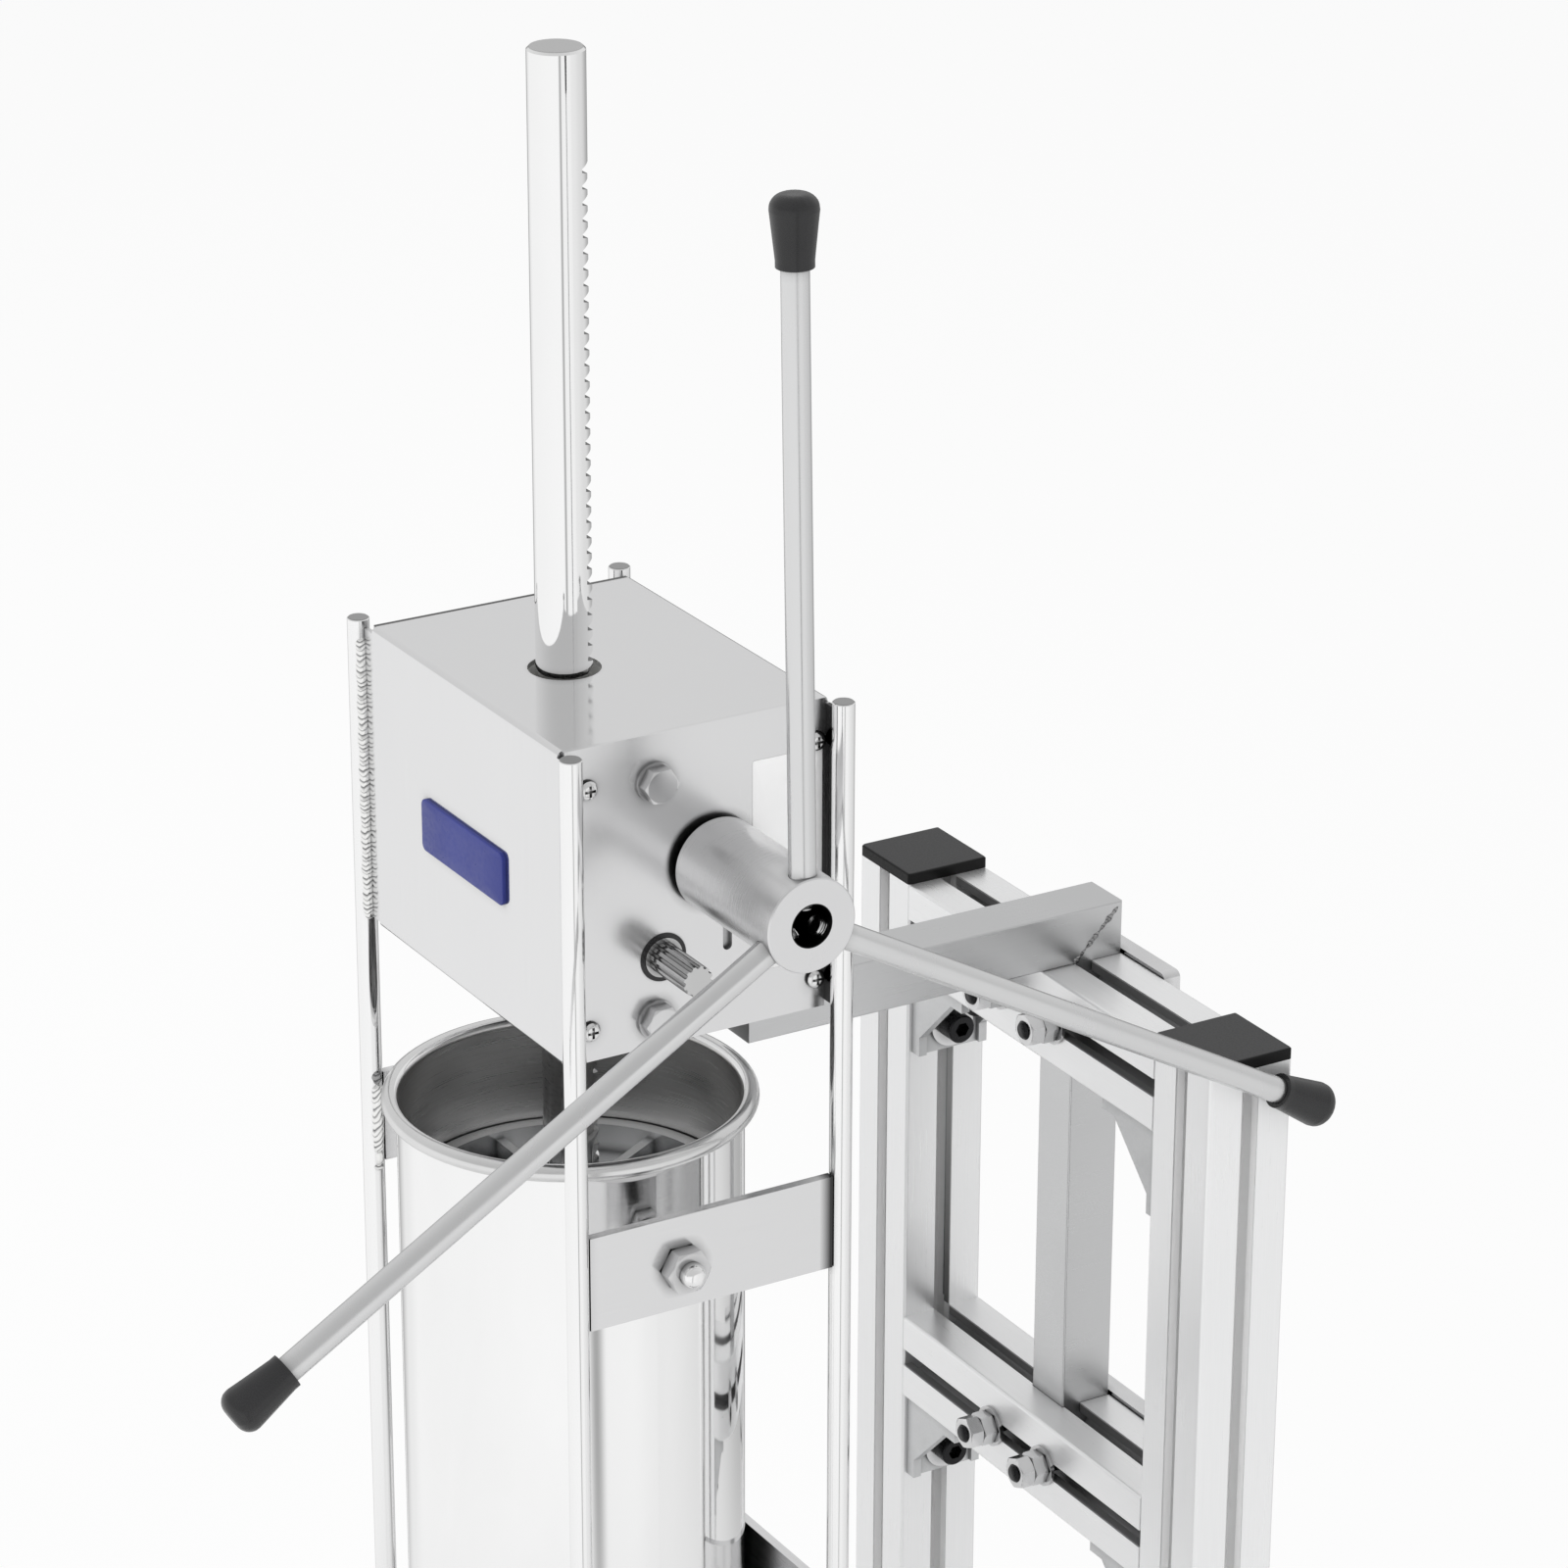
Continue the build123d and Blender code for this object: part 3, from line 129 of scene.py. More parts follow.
def calculated(tree, operation, *values):
    """The result of a calculation with one, two or three numbers."""
    made = added(tree, "Math")
    made.operation = operation
    for number, value in enumerate(values):
        fill(tree, made.inputs[number], value)
    return made.outputs["Value"]


def measured(tree, operation, *vectors):
    """The number that one or two vectors give, such as a length."""
    made = added(tree, "VectorMath")
    made.operation = operation
    for number, vector in enumerate(vectors):
        fill(tree, made.inputs[number], vector)
    return made.outputs["Value"]


def mixed(tree, factor, first, second, kind="RGBA"):
    """The first value where the factor is zero and the second where it is one; for a colour, one
    number stands for a grey."""
    mix = added(tree, "Mix", Factor=factor)
    mix.data_type = kind
    first_input, output = (2, 0) if kind == "FLOAT" else (6, 2)
    for number, value in enumerate((first, second), first_input):
        if kind == "RGBA" and isinstance(value, float):
            value = (*grey(value), 1.0)
        fill(tree, mix.inputs[number], value)
    return mix.outputs[output]


def ranged(tree, value, low, high, start=0.3, end=0.7):
    """A value brought between two limits while it runs from a start to an end."""
    span = added(tree, "MapRange", Value=value, From_Min=start, From_Max=end)
    return feed(tree, span, To_Min=low, To_Max=high).outputs["Result"]


def eased(tree, value, start, end):
    """Zero up to a start, one from an end on and smooth between."""
    span = added(tree, "MapRange", Value=value, From_Min=start, From_Max=end)
    span.interpolation_type = "SMOOTHSTEP"
    return span.outputs["Result"]


def tinted(tree, value, dark, light, start=0.3, end=0.7):
    """A value turned into a colour between two colours."""
    ramp = added(tree, "ValToRGB", Fac=value)
    stops = ((start, dark), (end, light))
    for element, (position, colour) in zip(ramp.color_ramp.elements, stops):
        element.position = position
        element.color = (*colour, 1.0)
    return ramp.outputs["Color"]


def raised(tree, value, distance):
    """A value as relief on the surface."""
    return added(tree, "Bump", Height=value, Distance=distance, Strength=1.0).outputs["Normal"]


def with_corner_shade(tree, colour):
    """Painted shade: a colour that darkens where another surface stands close, as in a corner or
    round a bolt.
    """
    near = added(tree, "AmbientOcclusion", Color=colour, Distance=CORNER_REACH)
    near.samples = 8
    return near.outputs["Color"]


def own_place(tree):
    """A point's place in the piece's own coordinates."""
    return added(tree, "TexCoord").outputs["Object"]


def own_axis(tree, axis):
    """A point's place along one axis."""
    return added(tree, "SeparateXYZ", Vector=own_place(tree)).outputs[axis]


def pattern(tree, scale, detail=3.0, distortion=0.0):
    """Noise on the piece's own coordinates, drawn out by one scale for each axis."""
    spread = added(tree, "Mapping", Vector=own_place(tree), Scale=scale).outputs["Vector"]
    noise = added(tree, "TexNoise", Vector=spread, Scale=1.0, Detail=detail, Roughness=0.55,
                  Distortion=distortion)
    return noise.outputs["Fac"]


def smeared(tree):
    """Soft smears drawn out upwards, as wiping leaves them on a mirror."""
    return pattern(tree, (30.0, 30.0, 9.0), detail=5.0, distortion=0.6)


def from_axis(tree, centre, along):
    """The distance from an axis through a centre."""
    kept = [0.0 if axis == along else 1.0 for axis in "XYZ"]
    shift = [-value * keep for value, keep in zip(centre, kept)]
    centred = added(tree, "Mapping", Vector=own_place(tree), Scale=kept, Location=shift)
    return measured(tree, "LENGTH", centred.outputs["Vector"])


def beyond(tree, axis, limit):
    """One beyond a plane square to an axis and zero on the near side of it."""
    return calculated(tree, "GREATER_THAN", own_axis(tree, axis), limit)


def both(tree, first, second):
    """One where two masks are one and zero elsewhere."""
    return calculated(tree, "MULTIPLY", first, second)


def opposite(tree, mask):
    """One where a mask is zero and zero where it is one."""
    return calculated(tree, "LESS_THAN", mask, 0.5)


# ---------------------------------------------------------------- kinds of finish


def finish_base(name, colour, metallic, roughness, **others):
    """A new finish with its plain values set on the shader's own sockets."""
    material = bpy.data.materials.new(name)
    material.use_nodes = True
    tree = material.node_tree
    shader = tree.nodes["Principled BSDF"]
    feed(tree, shader, Base_Color=(*colour, 1.0), Metallic=metallic, Roughness=roughness, **others)
    return material, tree, shader


def part_finish(material, mask, colour, **others):
    """Give part of a piece another colour, and roughness or metal if named, where a mask is one."""
    tree = material.node_tree
    shader = tree.nodes["Principled BSDF"]
    for name, value in {"Base Color": (*colour, 1.0), **others}.items():
        socket = shader.inputs[name]
        before = socket.links[0].from_socket if socket.links else socket.default_value
        kind = "RGBA" if name == "Base Color" else "FLOAT"
        fill(tree, socket, mixed(tree, mask, before, value, kind))
    return material


def top_finish_or_highlight(material, node, colour, **others):
    """Give the top face of a piece another colour than its sides; on the end caps this colour is a
    painted highlight.
    """
    top = beyond(material.node_tree, "Z", high_of(node)[2] - TOP_SKIN)
    return part_finish(material, top, colour, **others)


def grained_metal(name, colour, roughness, along, fine=2600.0, relief=1.2e-6, spread=0.06,
                  shade=0.05, cloud=0.03, metallic=1.0, close=True):
    """Metal with grain along one axis, or turned round one when two axes are given.

    Noise that changes slowly along the grain and fast across it shifts the shade, the roughness and
    the surface; a second, broad noise clouds the roughness as handling and rolling do. Unless close
    is false, the colour also gets painted shade where other surfaces stand near."""
    material, tree, shader = finish_base(name, colour, metallic, roughness)
    grain = pattern(tree, [fine / 90 if axis in along else fine for axis in "XYZ"], detail=4.0)
    broad = pattern(tree, (14.0, 14.0, 14.0), detail=2.0)
    dark = tuple(value * (1 - shade) for value in colour)
    light = tuple(min(1.0, value * (1 + shade)) for value in colour)
    tint = tinted(tree, grain, dark, light)
    streaks = ranged(tree, grain, roughness - spread, roughness + spread)
    clouds = ranged(tree, broad, -cloud, cloud)
    feed(
        tree, shader,
        # painted shade where other surfaces stand near
        Base_Color=with_corner_shade(tree, tint) if close else tint,
        Roughness=calculated(tree, "ADD", streaks, clouds),
        Normal=raised(tree, grain, relief),
    )
    return material


def polished_metal(name, colour, roughness, relief=4e-6):
    """Polished metal: nearly a mirror, with faint smears in its roughness and a slow wave in its
    surface, and painted shade in its colour where other surfaces stand near."""
    material, tree, shader = finish_base(name, colour, 1.0, roughness)
    smears = smeared(tree)
    wave = pattern(tree, (38.0, 38.0, 16.0), detail=1.0)
    dark = tuple(value * 0.97 for value in colour)
    feed(
        tree, shader,
        # painted shade where other surfaces stand near
        Base_Color=with_corner_shade(tree, tinted(tree, smears, dark, colour)),
        Roughness=ranged(tree, smears, roughness * 0.6, roughness * 1.7),
        Normal=raised(tree, wave, relief),
    )
    return material


def speckled(name, dark, light, metallic, roughness, size, relief, spread=0.08, **others):
    """A fine-grained finish, such as moulded plastic, a casting, oxide or rubber: even noise in
    shade, roughness and relief. On metals the colour also gets painted shade where other surfaces
    stand near."""
    material, tree, shader = finish_base(name, light, metallic, roughness, **others)
    speck = pattern(tree, (size, size, size), detail=5.0)
    cloud = pattern(tree, (24.0, 24.0, 24.0), detail=3.0)
    tint = tinted(tree, cloud, dark, light)
    feed(
        tree, shader,
        # painted shade on metals where other surfaces stand near
        Base_Color=with_corner_shade(tree, tint) if metallic > 0.5 else tint,
        Roughness=ranged(tree, speck, roughness - spread, roughness + spread),
        Normal=raised(tree, speck, relief),
    )
    return material


# ---------------------------------------------------------------- finishes of single pieces


def profile_metal(node, along):
    """Anodised profile: pale drawn faces; inside the slots of a post a paler, matt colour is painted
    light for the light the slots take from all sides, and inside the bars, which lie across the
    light, a dark grey is painted shade.

    A point is inside a slot where its distance from the profile's axis, taken along the farther of
    the two axes across it, is less than half the width by more than the slot's lip. The left post's
    slot on the arm's side gets painted shade, darkest at the lower crossbar and fading upwards."""
    material = grained_metal(f"anodised_{node}", (0.92, 0.923, 0.926), 0.34, along, relief=1.0e-6,
                             shade=0.02, metallic=0.75, close=False)
    tree = material.node_tree
    middle = middle_of(node)
    offsets = [
        calculated(tree, "ABSOLUTE", calculated(tree, "SUBTRACT", own_axis(tree, axis), centre))
        for axis, centre in zip("XYZ", middle) if axis not in along
    ]
    farther = calculated(tree, "MAXIMUM", *offsets)
    inside = calculated(tree, "LESS_THAN", farther, PROFILE_WIDTH / 2 - SLOT_LIP)
    if along != "Z":
        # painted shade inside the crossbars' slots
        return part_finish(material, inside, (0.42, 0.42, 0.425))
    # painted light inside the posts' slots: paler and matt
    part_finish(material, inside, grey(0.97), Metallic=0.0)
    if node == "left_post":
        foot = high_of("lower_crossbar")[2]
        fade_end = foot + SLOT_SHADE_HEIGHT
        fading = ranged(tree, own_axis(tree, "Z"), 1.0, 0.0, start=foot, end=fade_end)
        above = both(tree, fading, beyond(tree, "Z", foot))
        shaded = both(tree, above, beyond(tree, "X", middle[0] + SLOT_SHADE_SIDE))
        # painted shade in the left post's slot above the lower crossbar
        part_finish(material, both(tree, inside, shaded), grey(0.16))
    return material


def cylinder_steel():
    """The cylinder's steel: a mirror outside, a satin rolled rim and turned grain inside.

    The distance from the cylinder's axis tells them apart: the inner wall lies below the middle of
    the sheet and the rim beyond the outer wall."""
    material, tree, shader = finish_base("cylinder_steel", BRIGHT, 1.0, 0.05)
    distance = from_axis(tree, rack_axis, "Z")
    inside = calculated(tree, "LESS_THAN", distance, CYLINDER_RADIUS - CYLINDER_WALL / 2)
    rim = calculated(tree, "GREATER_THAN", distance, CYLINDER_RADIUS + CYLINDER_WALL / 2)
    turned_grain = pattern(tree, (22.0, 22.0, 2400.0), detail=4.0)
    smears = smeared(tree)
    wall_rough = ranged(tree, smears, 0.03, 0.07)
    rim_rough = ranged(tree, smears, 0.14, 0.22)
    inner_rough = ranged(tree, turned_grain, 0.26, 0.33)
    outer_rough = mixed(tree, rim, wall_rough, rim_rough, "FLOAT")
    wall_shade = tinted(tree, smears, grey(0.90), BRIGHT)
    rim_shade = tinted(tree, smears, grey(0.72), grey(0.78))
    inner_shade = tinted(tree, turned_grain, (0.70, 0.695, 0.69), (0.79, 0.785, 0.78))
    outer_shade = mixed(tree, rim, wall_shade, rim_shade)
    feed(
        tree, shader,
        Base_Color=mixed(tree, inside, outer_shade, inner_shade),
        Roughness=mixed(tree, inside, outer_rough, inner_rough, "FLOAT"),
        Normal=raised(tree, both(tree, inside, turned_grain), 3.0e-7),
    )
    return material


def side_sheet(name):
    """The finely brushed sheet of the box's two sides."""
    return grained_metal(name, SHEET, 0.24, "Z", fine=4200.0, relief=3e-7, spread=0.03, shade=0.012)


def box_metal():
    """The folded shell's sheet, with a painted shadow strip where the rear rod shades its edge."""
    material = grained_metal("box_sheet", SHEET, 0.12, "Z", fine=1800.0, relief=2e-7, spread=0.03,
                             shade=0.012)
    tree = material.node_tree
    back = high_of("gearbox_shell")[1]
    edge_start, edge_end = back - 2.2 * MM, back - 0.05 * MM
    edge = both(tree, beyond(tree, "Y", edge_start), opposite(tree, beyond(tree, "Y", edge_end)))
    # painted shadow: a near-black strip along the back edge beside the cover
    return part_finish(material, both(tree, edge, beyond(tree, "X", cover_face)), grey(0.02))


def strap_metal():
    """The side straps' sheet, with painted shade that darkens it towards the rear rods, which stand
    close to it.
    """
    material = grained_metal("strap_sheet", SHEET, 0.2, "Y", relief=4e-7, shade=0.02)
    tree = material.node_tree
    rear = high_of("right_strap")[1]
    fade_start, fade_end = rear - 6 * MM, rear - 1 * MM
    shaded = ranged(tree, own_axis(tree, "Y"), 0.0, 1.0, start=fade_start, end=fade_end)
    # painted shade fading in towards the rear end
    return part_finish(material, shaded, grey(0.06))


def hub_metal():
    """The hub's turned steel, with painted shade, nearly black, in its bore."""
    material = grained_metal("turned_hub", (0.78, 0.78, 0.785), 0.29, "YZ", fine=3600.0,
                             relief=1.5e-7, shade=0.012, spread=0.02, cloud=0.015)
    tree = material.node_tree
    bore = calculated(tree, "LESS_THAN", from_axis(tree, middle_of("hub"), "X"), HUB_BORE_RADIUS)
    # painted shade inside the bore
    return part_finish(material, bore, grey(0.02), Roughness=0.3)


def screw_metal():
    """The cover screws' bright steel, with painted shade in the cross and at the foot of the head.
    """
    material = speckled("bright_screw", grey(0.78), grey(0.84), metallic=1.0, roughness=0.14,
                        size=500.0, relief=3e-7, spread=0.03)
    tree = material.node_tree
    face = beyond(tree, "X", high_of("cover_screws")[0] - SCREW_FACE_DEPTH)
    # painted shade in the cross and round the foot of the head
    return part_finish(material, opposite(tree, face), grey(0.03), Roughness=0.3)


def cap_plastic():
    """The end caps' plastic, black at the sides, with a painted highlight that makes the upright
    ones' top faces greyer.
    """
    material = speckled("cap_black", grey(0.004), grey(0.007), metallic=0.0, roughness=0.45,
                        size=1300.0, relief=3e-6, Specular_IOR_Level=0.2)
    # painted highlight: greyer top faces on the upright caps
    return top_finish_or_highlight(material, "profile_caps", (0.045, 0.045, 0.046))


def weld_metal(name, groove_colour, crest_colour, roughness):
    """A weld's metal: painted shade makes the grooves between its scales dark, and the scales keep
    their bright colour, from the bead's own groove value, which runs from 0 on a scale to 1 in a
    groove."""
    material, tree, shader = finish_base(name, crest_colour, 1.0, roughness)
    groove = added(tree, "Attribute")
    groove.attribute_name = "groove"
    speck = pattern(tree, (900.0, 900.0, 900.0), detail=4.0)
    # painted shade in the grooves between the scales
    shade = tinted(tree, groove.outputs["Fac"], crest_colour, groove_colour, start=0.45, end=0.95)
    feed(
        tree, shader,
        Base_Color=shade,
        Roughness=ranged(tree, speck, roughness - 0.08, roughness + 0.12),
        Normal=raised(tree, speck, 8e-6),
    )
    return material


# ---------------------------------------------------------------- the finishes and what wears them

SHEET = (0.78, 0.78, 0.785)
BRIGHT = grey(0.93)
PROFILES = {
    "left_post": "Z", "right_post": "Z", "left_foot": "Y", "right_foot": "Y", "upper_crossbar": "X",
    "lower_crossbar": "X", "base_crossbar": "X",
}

finishes = {
    "box_sheet": box_metal(),
    "plate_sheet": top_finish_or_highlight(side_sheet("plate_sheet"), "left_side_plate", grey(0.08)),
    "cover_sheet": side_sheet("cover_sheet"),
    "strap_sheet": strap_metal(),
    "rear_strap_sheet": grained_metal("rear_strap_sheet", SHEET, 0.2, "X", relief=4e-7, shade=0.02),
    "seat_sheet": grained_metal("seat_sheet", SHEET, 0.22, "X", relief=4e-7, shade=0.02),
    "arm_tube": grained_metal("arm_tube", (0.62, 0.623, 0.627), 0.32, "Y", relief=4e-7, shade=0.02),
    "hub_steel": hub_metal(),
    "bush_steel": grained_metal(
        "turned_bush", grey(0.62), 0.2, "YZ", fine=3600.0, relief=4e-7, shade=0.03
    ),
    "shaft_steel": grained_metal(
        "turned_shaft", grey(0.60), 0.13, "YZ", fine=3600.0, relief=2e-7, shade=0.03
    ),
    "spoke_steel": polished_metal("drawn_spoke", (0.74, 0.742, 0.745), 0.22, relief=1e-6),
    "rod_steel": top_finish_or_highlight(
        polished_metal("upright_steel", BRIGHT, 0.09), "front_left_rod", grey(0.36), Roughness=0.3
    ),
    "rack_steel": top_finish_or_highlight(
        polished_metal("rack_steel", BRIGHT, 0.05), "rack", grey(0.56), Roughness=0.3
    ),
    "cylinder_steel": cylinder_steel(),
    "gear_steel": speckled(
        "gear_steel", (0.30, 0.30, 0.31), (0.40, 0.40, 0.41),
        metallic=1.0, roughness=0.38, size=900.0, relief=2e-6,
    ),
    "zinc": speckled(
        "zinc_plate", (0.66, 0.66, 0.665), (0.76, 0.76, 0.765),
        metallic=1.0, roughness=0.15, size=400.0, relief=2e-7, spread=0.03,
    ),
    "screw_steel": screw_metal(),
    "black_oxide": speckled(
        "black_oxide", (0.008, 0.008, 0.009), (0.018, 0.018, 0.02),
        metallic=0.6, roughness=0.3, size=900.0, relief=5e-7,
    ),
    "black_plastic": speckled(
        "moulded_black", (0.010, 0.010, 0.011), (0.018, 0.018, 0.019),
        metallic=0.0, roughness=0.28, size=1500.0, relief=2e-6,
    ),
    "cap_plastic": cap_plastic(),
    "casting": speckled(
        "blasted_casting", (0.58, 0.585, 0.59), (0.68, 0.685, 0.69),
        metallic=1.0, roughness=0.42, size=1100.0, relief=4e-6,
    ),
    "rubber": speckled(
        "foot_rubber", grey(0.016), grey(0.03),
        metallic=0.0, roughness=0.66, size=800.0, relief=1e-5,
    ),
    "nozzle_plastic": speckled(
        "nozzle_white", (0.82, 0.81, 0.78), (0.88, 0.87, 0.85),
        metallic=0.0, roughness=0.30, size=500.0, relief=3e-6, Subsurface_Weight=0.1,
    ),
    "guide_plastic": speckled(
        "guide_white", (0.78, 0.78, 0.76), (0.84, 0.84, 0.82),
        metallic=0.0, roughness=0.45, size=900.0, relief=5e-6,
    ),
    "piston_metal": speckled(
        "piston_casting", (0.66, 0.665, 0.67), (0.70, 0.705, 0.71),
        metallic=1.0, roughness=0.24, size=300.0, relief=5e-8, spread=0.02,
    ),
    "seal": speckled(
        "seal_silicone", (0.72, 0.72, 0.70), (0.80, 0.80, 0.78),
        metallic=0.0, roughness=0.5, size=600.0, relief=4e-6,
    ),
    "badge_blue": speckled(
        "badge_blue", (0.026, 0.036, 0.22), (0.036, 0.05, 0.27),
        metallic=0.0, roughness=0.35, size=500.0, relief=1e-6, Specular_IOR_Level=0.3,
    ),
    "label_white": speckled(
        "label_white", grey(0.93), grey(0.96),
        metallic=0.0, roughness=0.45, size=700.0, relief=1e-6,
    ),
    "bright_weld": weld_metal("bright_weld", (0.12, 0.12, 0.125), (0.88, 0.88, 0.87), 0.12),
    "smooth_weld": weld_metal("smooth_weld", grey(0.5), (0.86, 0.86, 0.85), 0.15),
    "dark_weld": weld_metal("dark_weld", (0.07, 0.07, 0.075), grey(0.36), 0.25),
    **{node: profile_metal(node, along) for node, along in PROFILES.items()},
}

finish_of_slot = {
    "box_steel": "strap_sheet",
    "polished_steel": "rod_steel",
    "cylinder_steel": "cylinder_steel",
    "arm_steel": "arm_tube",
    "gear_steel": "gear_steel",
    "bush_steel": "bush_steel",
    "zinc": "zinc",
    "black_steel": "black_oxide",
    "black_plastic": "black_plastic",
    "cast_bracket": "casting",
    "rubber": "rubber",
    "nozzle_plastic": "nozzle_plastic",
    "guide_plastic": "guide_plastic",
    "piston_casting": "piston_metal",
    "seal_rubber": "seal",
}
finish_of_node = {
    **{node: node for node in PROFILES},
    "gearbox_shell": "box_sheet",
    "side_cover": "cover_sheet",
    "left_side_plate": "plate_sheet",
    "rear_strap": "rear_strap_sheet",
    "seat_plate": "seat_sheet",
    "rack": "rack_steel",
    "hub": "hub_steel",
    "upper_spoke": "spoke_steel",
    "front_spoke": "spoke_steel",
    "rear_spoke": "spoke_steel",
    "drive_shaft": "shaft_steel",
    "lower_shaft": "shaft_steel",
    "drive_bushes": "bush_steel",
    "lower_bushes": "bush_steel",
    "profile_caps": "cap_plastic",
    "cover_screws": "screw_steel",
}


def dress_nodes():
    """Give every node of the frame its finish."""
    for name, piece in nodes.items():
        material = finishes[finish_of_node.get(name) or finish_of_slot[slot_of[name]]]
        piece.data.materials.clear()
        piece.data.materials.append(material)


# ---------------------------------------------------------------- surfaces


def surface(name, grids, finish, body, around=False, sharp=35.0, groove=None):
    """A smooth surface of quads over one or more grids of points[row, column, xyz].

    With around, the last column joins the first. Points that fall together at a pole are merged.
    A groove array of the same rows and columns is kept with the points."""
    corners, before = [], 0
    for points in grids:
        rows, columns = points.shape[:2]
        index = before + np.arange(rows * columns).reshape(rows, columns)
        before += rows * columns
        if around:
            index = np.hstack([index, index[:, :1]])
        quads = np.stack([index[:-1, :-1], index[:-1, 1:], index[1:, 1:], index[1:, :-1]], axis=-1)
        corners.append(quads.reshape(-1, 4))
    corners = np.concatenate(corners)
    places = np.concatenate([points.reshape(-1) for points in grids])
    mesh = bpy.data.meshes.new(name)
    mesh.vertices.add(before)
    mesh.vertices.foreach_set("co", places.astype(np.float32))
    mesh.loops.add(corners.size)
    mesh.loops.foreach_set("vertex_index", corners.reshape(-1).astype(np.int32))
    mesh.polygons.add(len(corners))
    mesh.polygons.foreach_set("loop_start", np.arange(0, corners.size, 4, dtype=np.int32))
    mesh.update(calc_edges=True)
    if groove is not None:
        values = mesh.attributes.new("groove", "FLOAT", "POINT").data
        values.foreach_set("value", groove.reshape(-1).astype(np.float32))
    work = bmesh.new()
    work.from_mesh(mesh)
    bmesh.ops.remove_doubles(work, verts=work.verts, dist=1e-7)
    bmesh.ops.recalc_face_normals(work, faces=work.faces)
    work.to_mesh(mesh)
    work.free()
    mesh.shade_smooth()
    mesh.set_sharp_from_angle(angle=radians(sharp))
    mesh.materials.append(finishes[finish])
    piece = bpy.data.objects.new(name, mesh)
    bpy.context.scene.collection.objects.link(piece)
    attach(piece, body)
    return piece


def bead(name, start, end, width, height, out, pitch, finish, slot, bow=0.8, wild=0.07, tip=0.0):
    """A weld bead of overlapping scales between two points.

    Across it runs t from -1 to 1: the section is half an ellipse. Along it, the phase is
    s / pitch + bow (|t - tip|^1.3 - 1), so that the scales point along the bead; within a scale the
    height climbs evenly, by up to a quarter, and drops back at its end, where the groove is. Sines
    of unrelated lengths make the width and the pitch wander, and both ends are rounded off."""
    start, end, out = (np.asarray(value, float) for value in (start, end, out))
    length = np.linalg.norm(end - start)
    along = (end - start) / length
    out = out - along * (out @ along)
    out /= np.linalg.norm(out)
    side = np.cross(along, out)
    rows_per_scale, columns, rise = 14, 25, 0.82
    s = np.linspace(0.0, 1.0, int(length / pitch * rows_per_scale))[:, None]
    t = np.linspace(-1.0, 1.0, columns)[None, :]
    turns = s * length / pitch
    end_length = 0.7 * width
    from_end = np.clip(1 - np.minimum(s, 1 - s) * length / end_length, 0, 1)
    ends = np.sqrt(np.clip(1 - from_end ** 2, 0, 1))
    wander = 1 + wild * np.sin(turns * 0.91 + 1.3) + 0.7 * wild * np.sin(turns * 2.37)
    drift = 0.3 * np.sin(turns * 0.53) + 0.1 * np.sin(turns * 1.9 + 3 * t)
    phase = turns + bow * (np.abs(t - tip) ** 1.3 - 1) + drift
    within = phase % 1.0
    depth = 0.6 + 0.4 * np.sin(np.floor(phase) * 2.4)
    scale = np.minimum(within / rise, (1 - within) / (1 - rise))
    ripple = 0.86 + 0.26 * scale * depth
    angle = t * pi / 2
    across = width / 2 * np.sin(angle) * wander * ends
    up = height * np.cos(angle) * ripple * wander * ends
    points = start + (s * length)[..., None] * along
    points = points + across[..., None] * side + up[..., None] * out
    groove = (1 - scale) * np.clip(0.55 + 0.6 * depth, 0, 1)
    return surface(name, [points], finish, "frame", sharp=80.0, groove=groove)


def threaded_rods(name, starts, along, length, radius, pitch, finish, body, bevel):
    """Threaded rods, each from a start along one direction.

    At distance s and angle a the radius is the outer radius less the thread's depth times a
    triangle wave of s / pitch - a / (2 pi), flattened at its crests; both ends are bevelled and
    closed to a pole."""
    along = np.asarray(along, float)
    side = np.cross(along, (1.0, 0.0, 0.0))
    up = np.cross(side, along)
    rows_per_turn, columns, depth = 6, 28, 0.55 * pitch
    s = np.linspace(0.0, length, int(length / pitch * rows_per_turn))[:, None]
    a = np.linspace(0.0, 2 * pi, columns, endpoint=False)[None, :]
    wave = np.abs(2 * ((s / pitch - a / (2 * pi)) % 1.0) - 1)
    reach = radius - depth * np.clip(1.3 * wave - 0.15, 0, 1)
    reach = np.minimum(reach, radius - bevel + np.minimum(s, length - s))
    reach = np.vstack([0 * reach[:1], reach, 0 * reach[:1]])
    s = np.vstack([s[:1], s, s[-1:]])
    around = (np.cos(a)[..., None] * side + np.sin(a)[..., None] * up) * reach[..., None]
    grids = [np.asarray(start) + s[..., None] * along + around for start in starts]
    return surface(name, grids, finish, body, around=True, sharp=50.0)


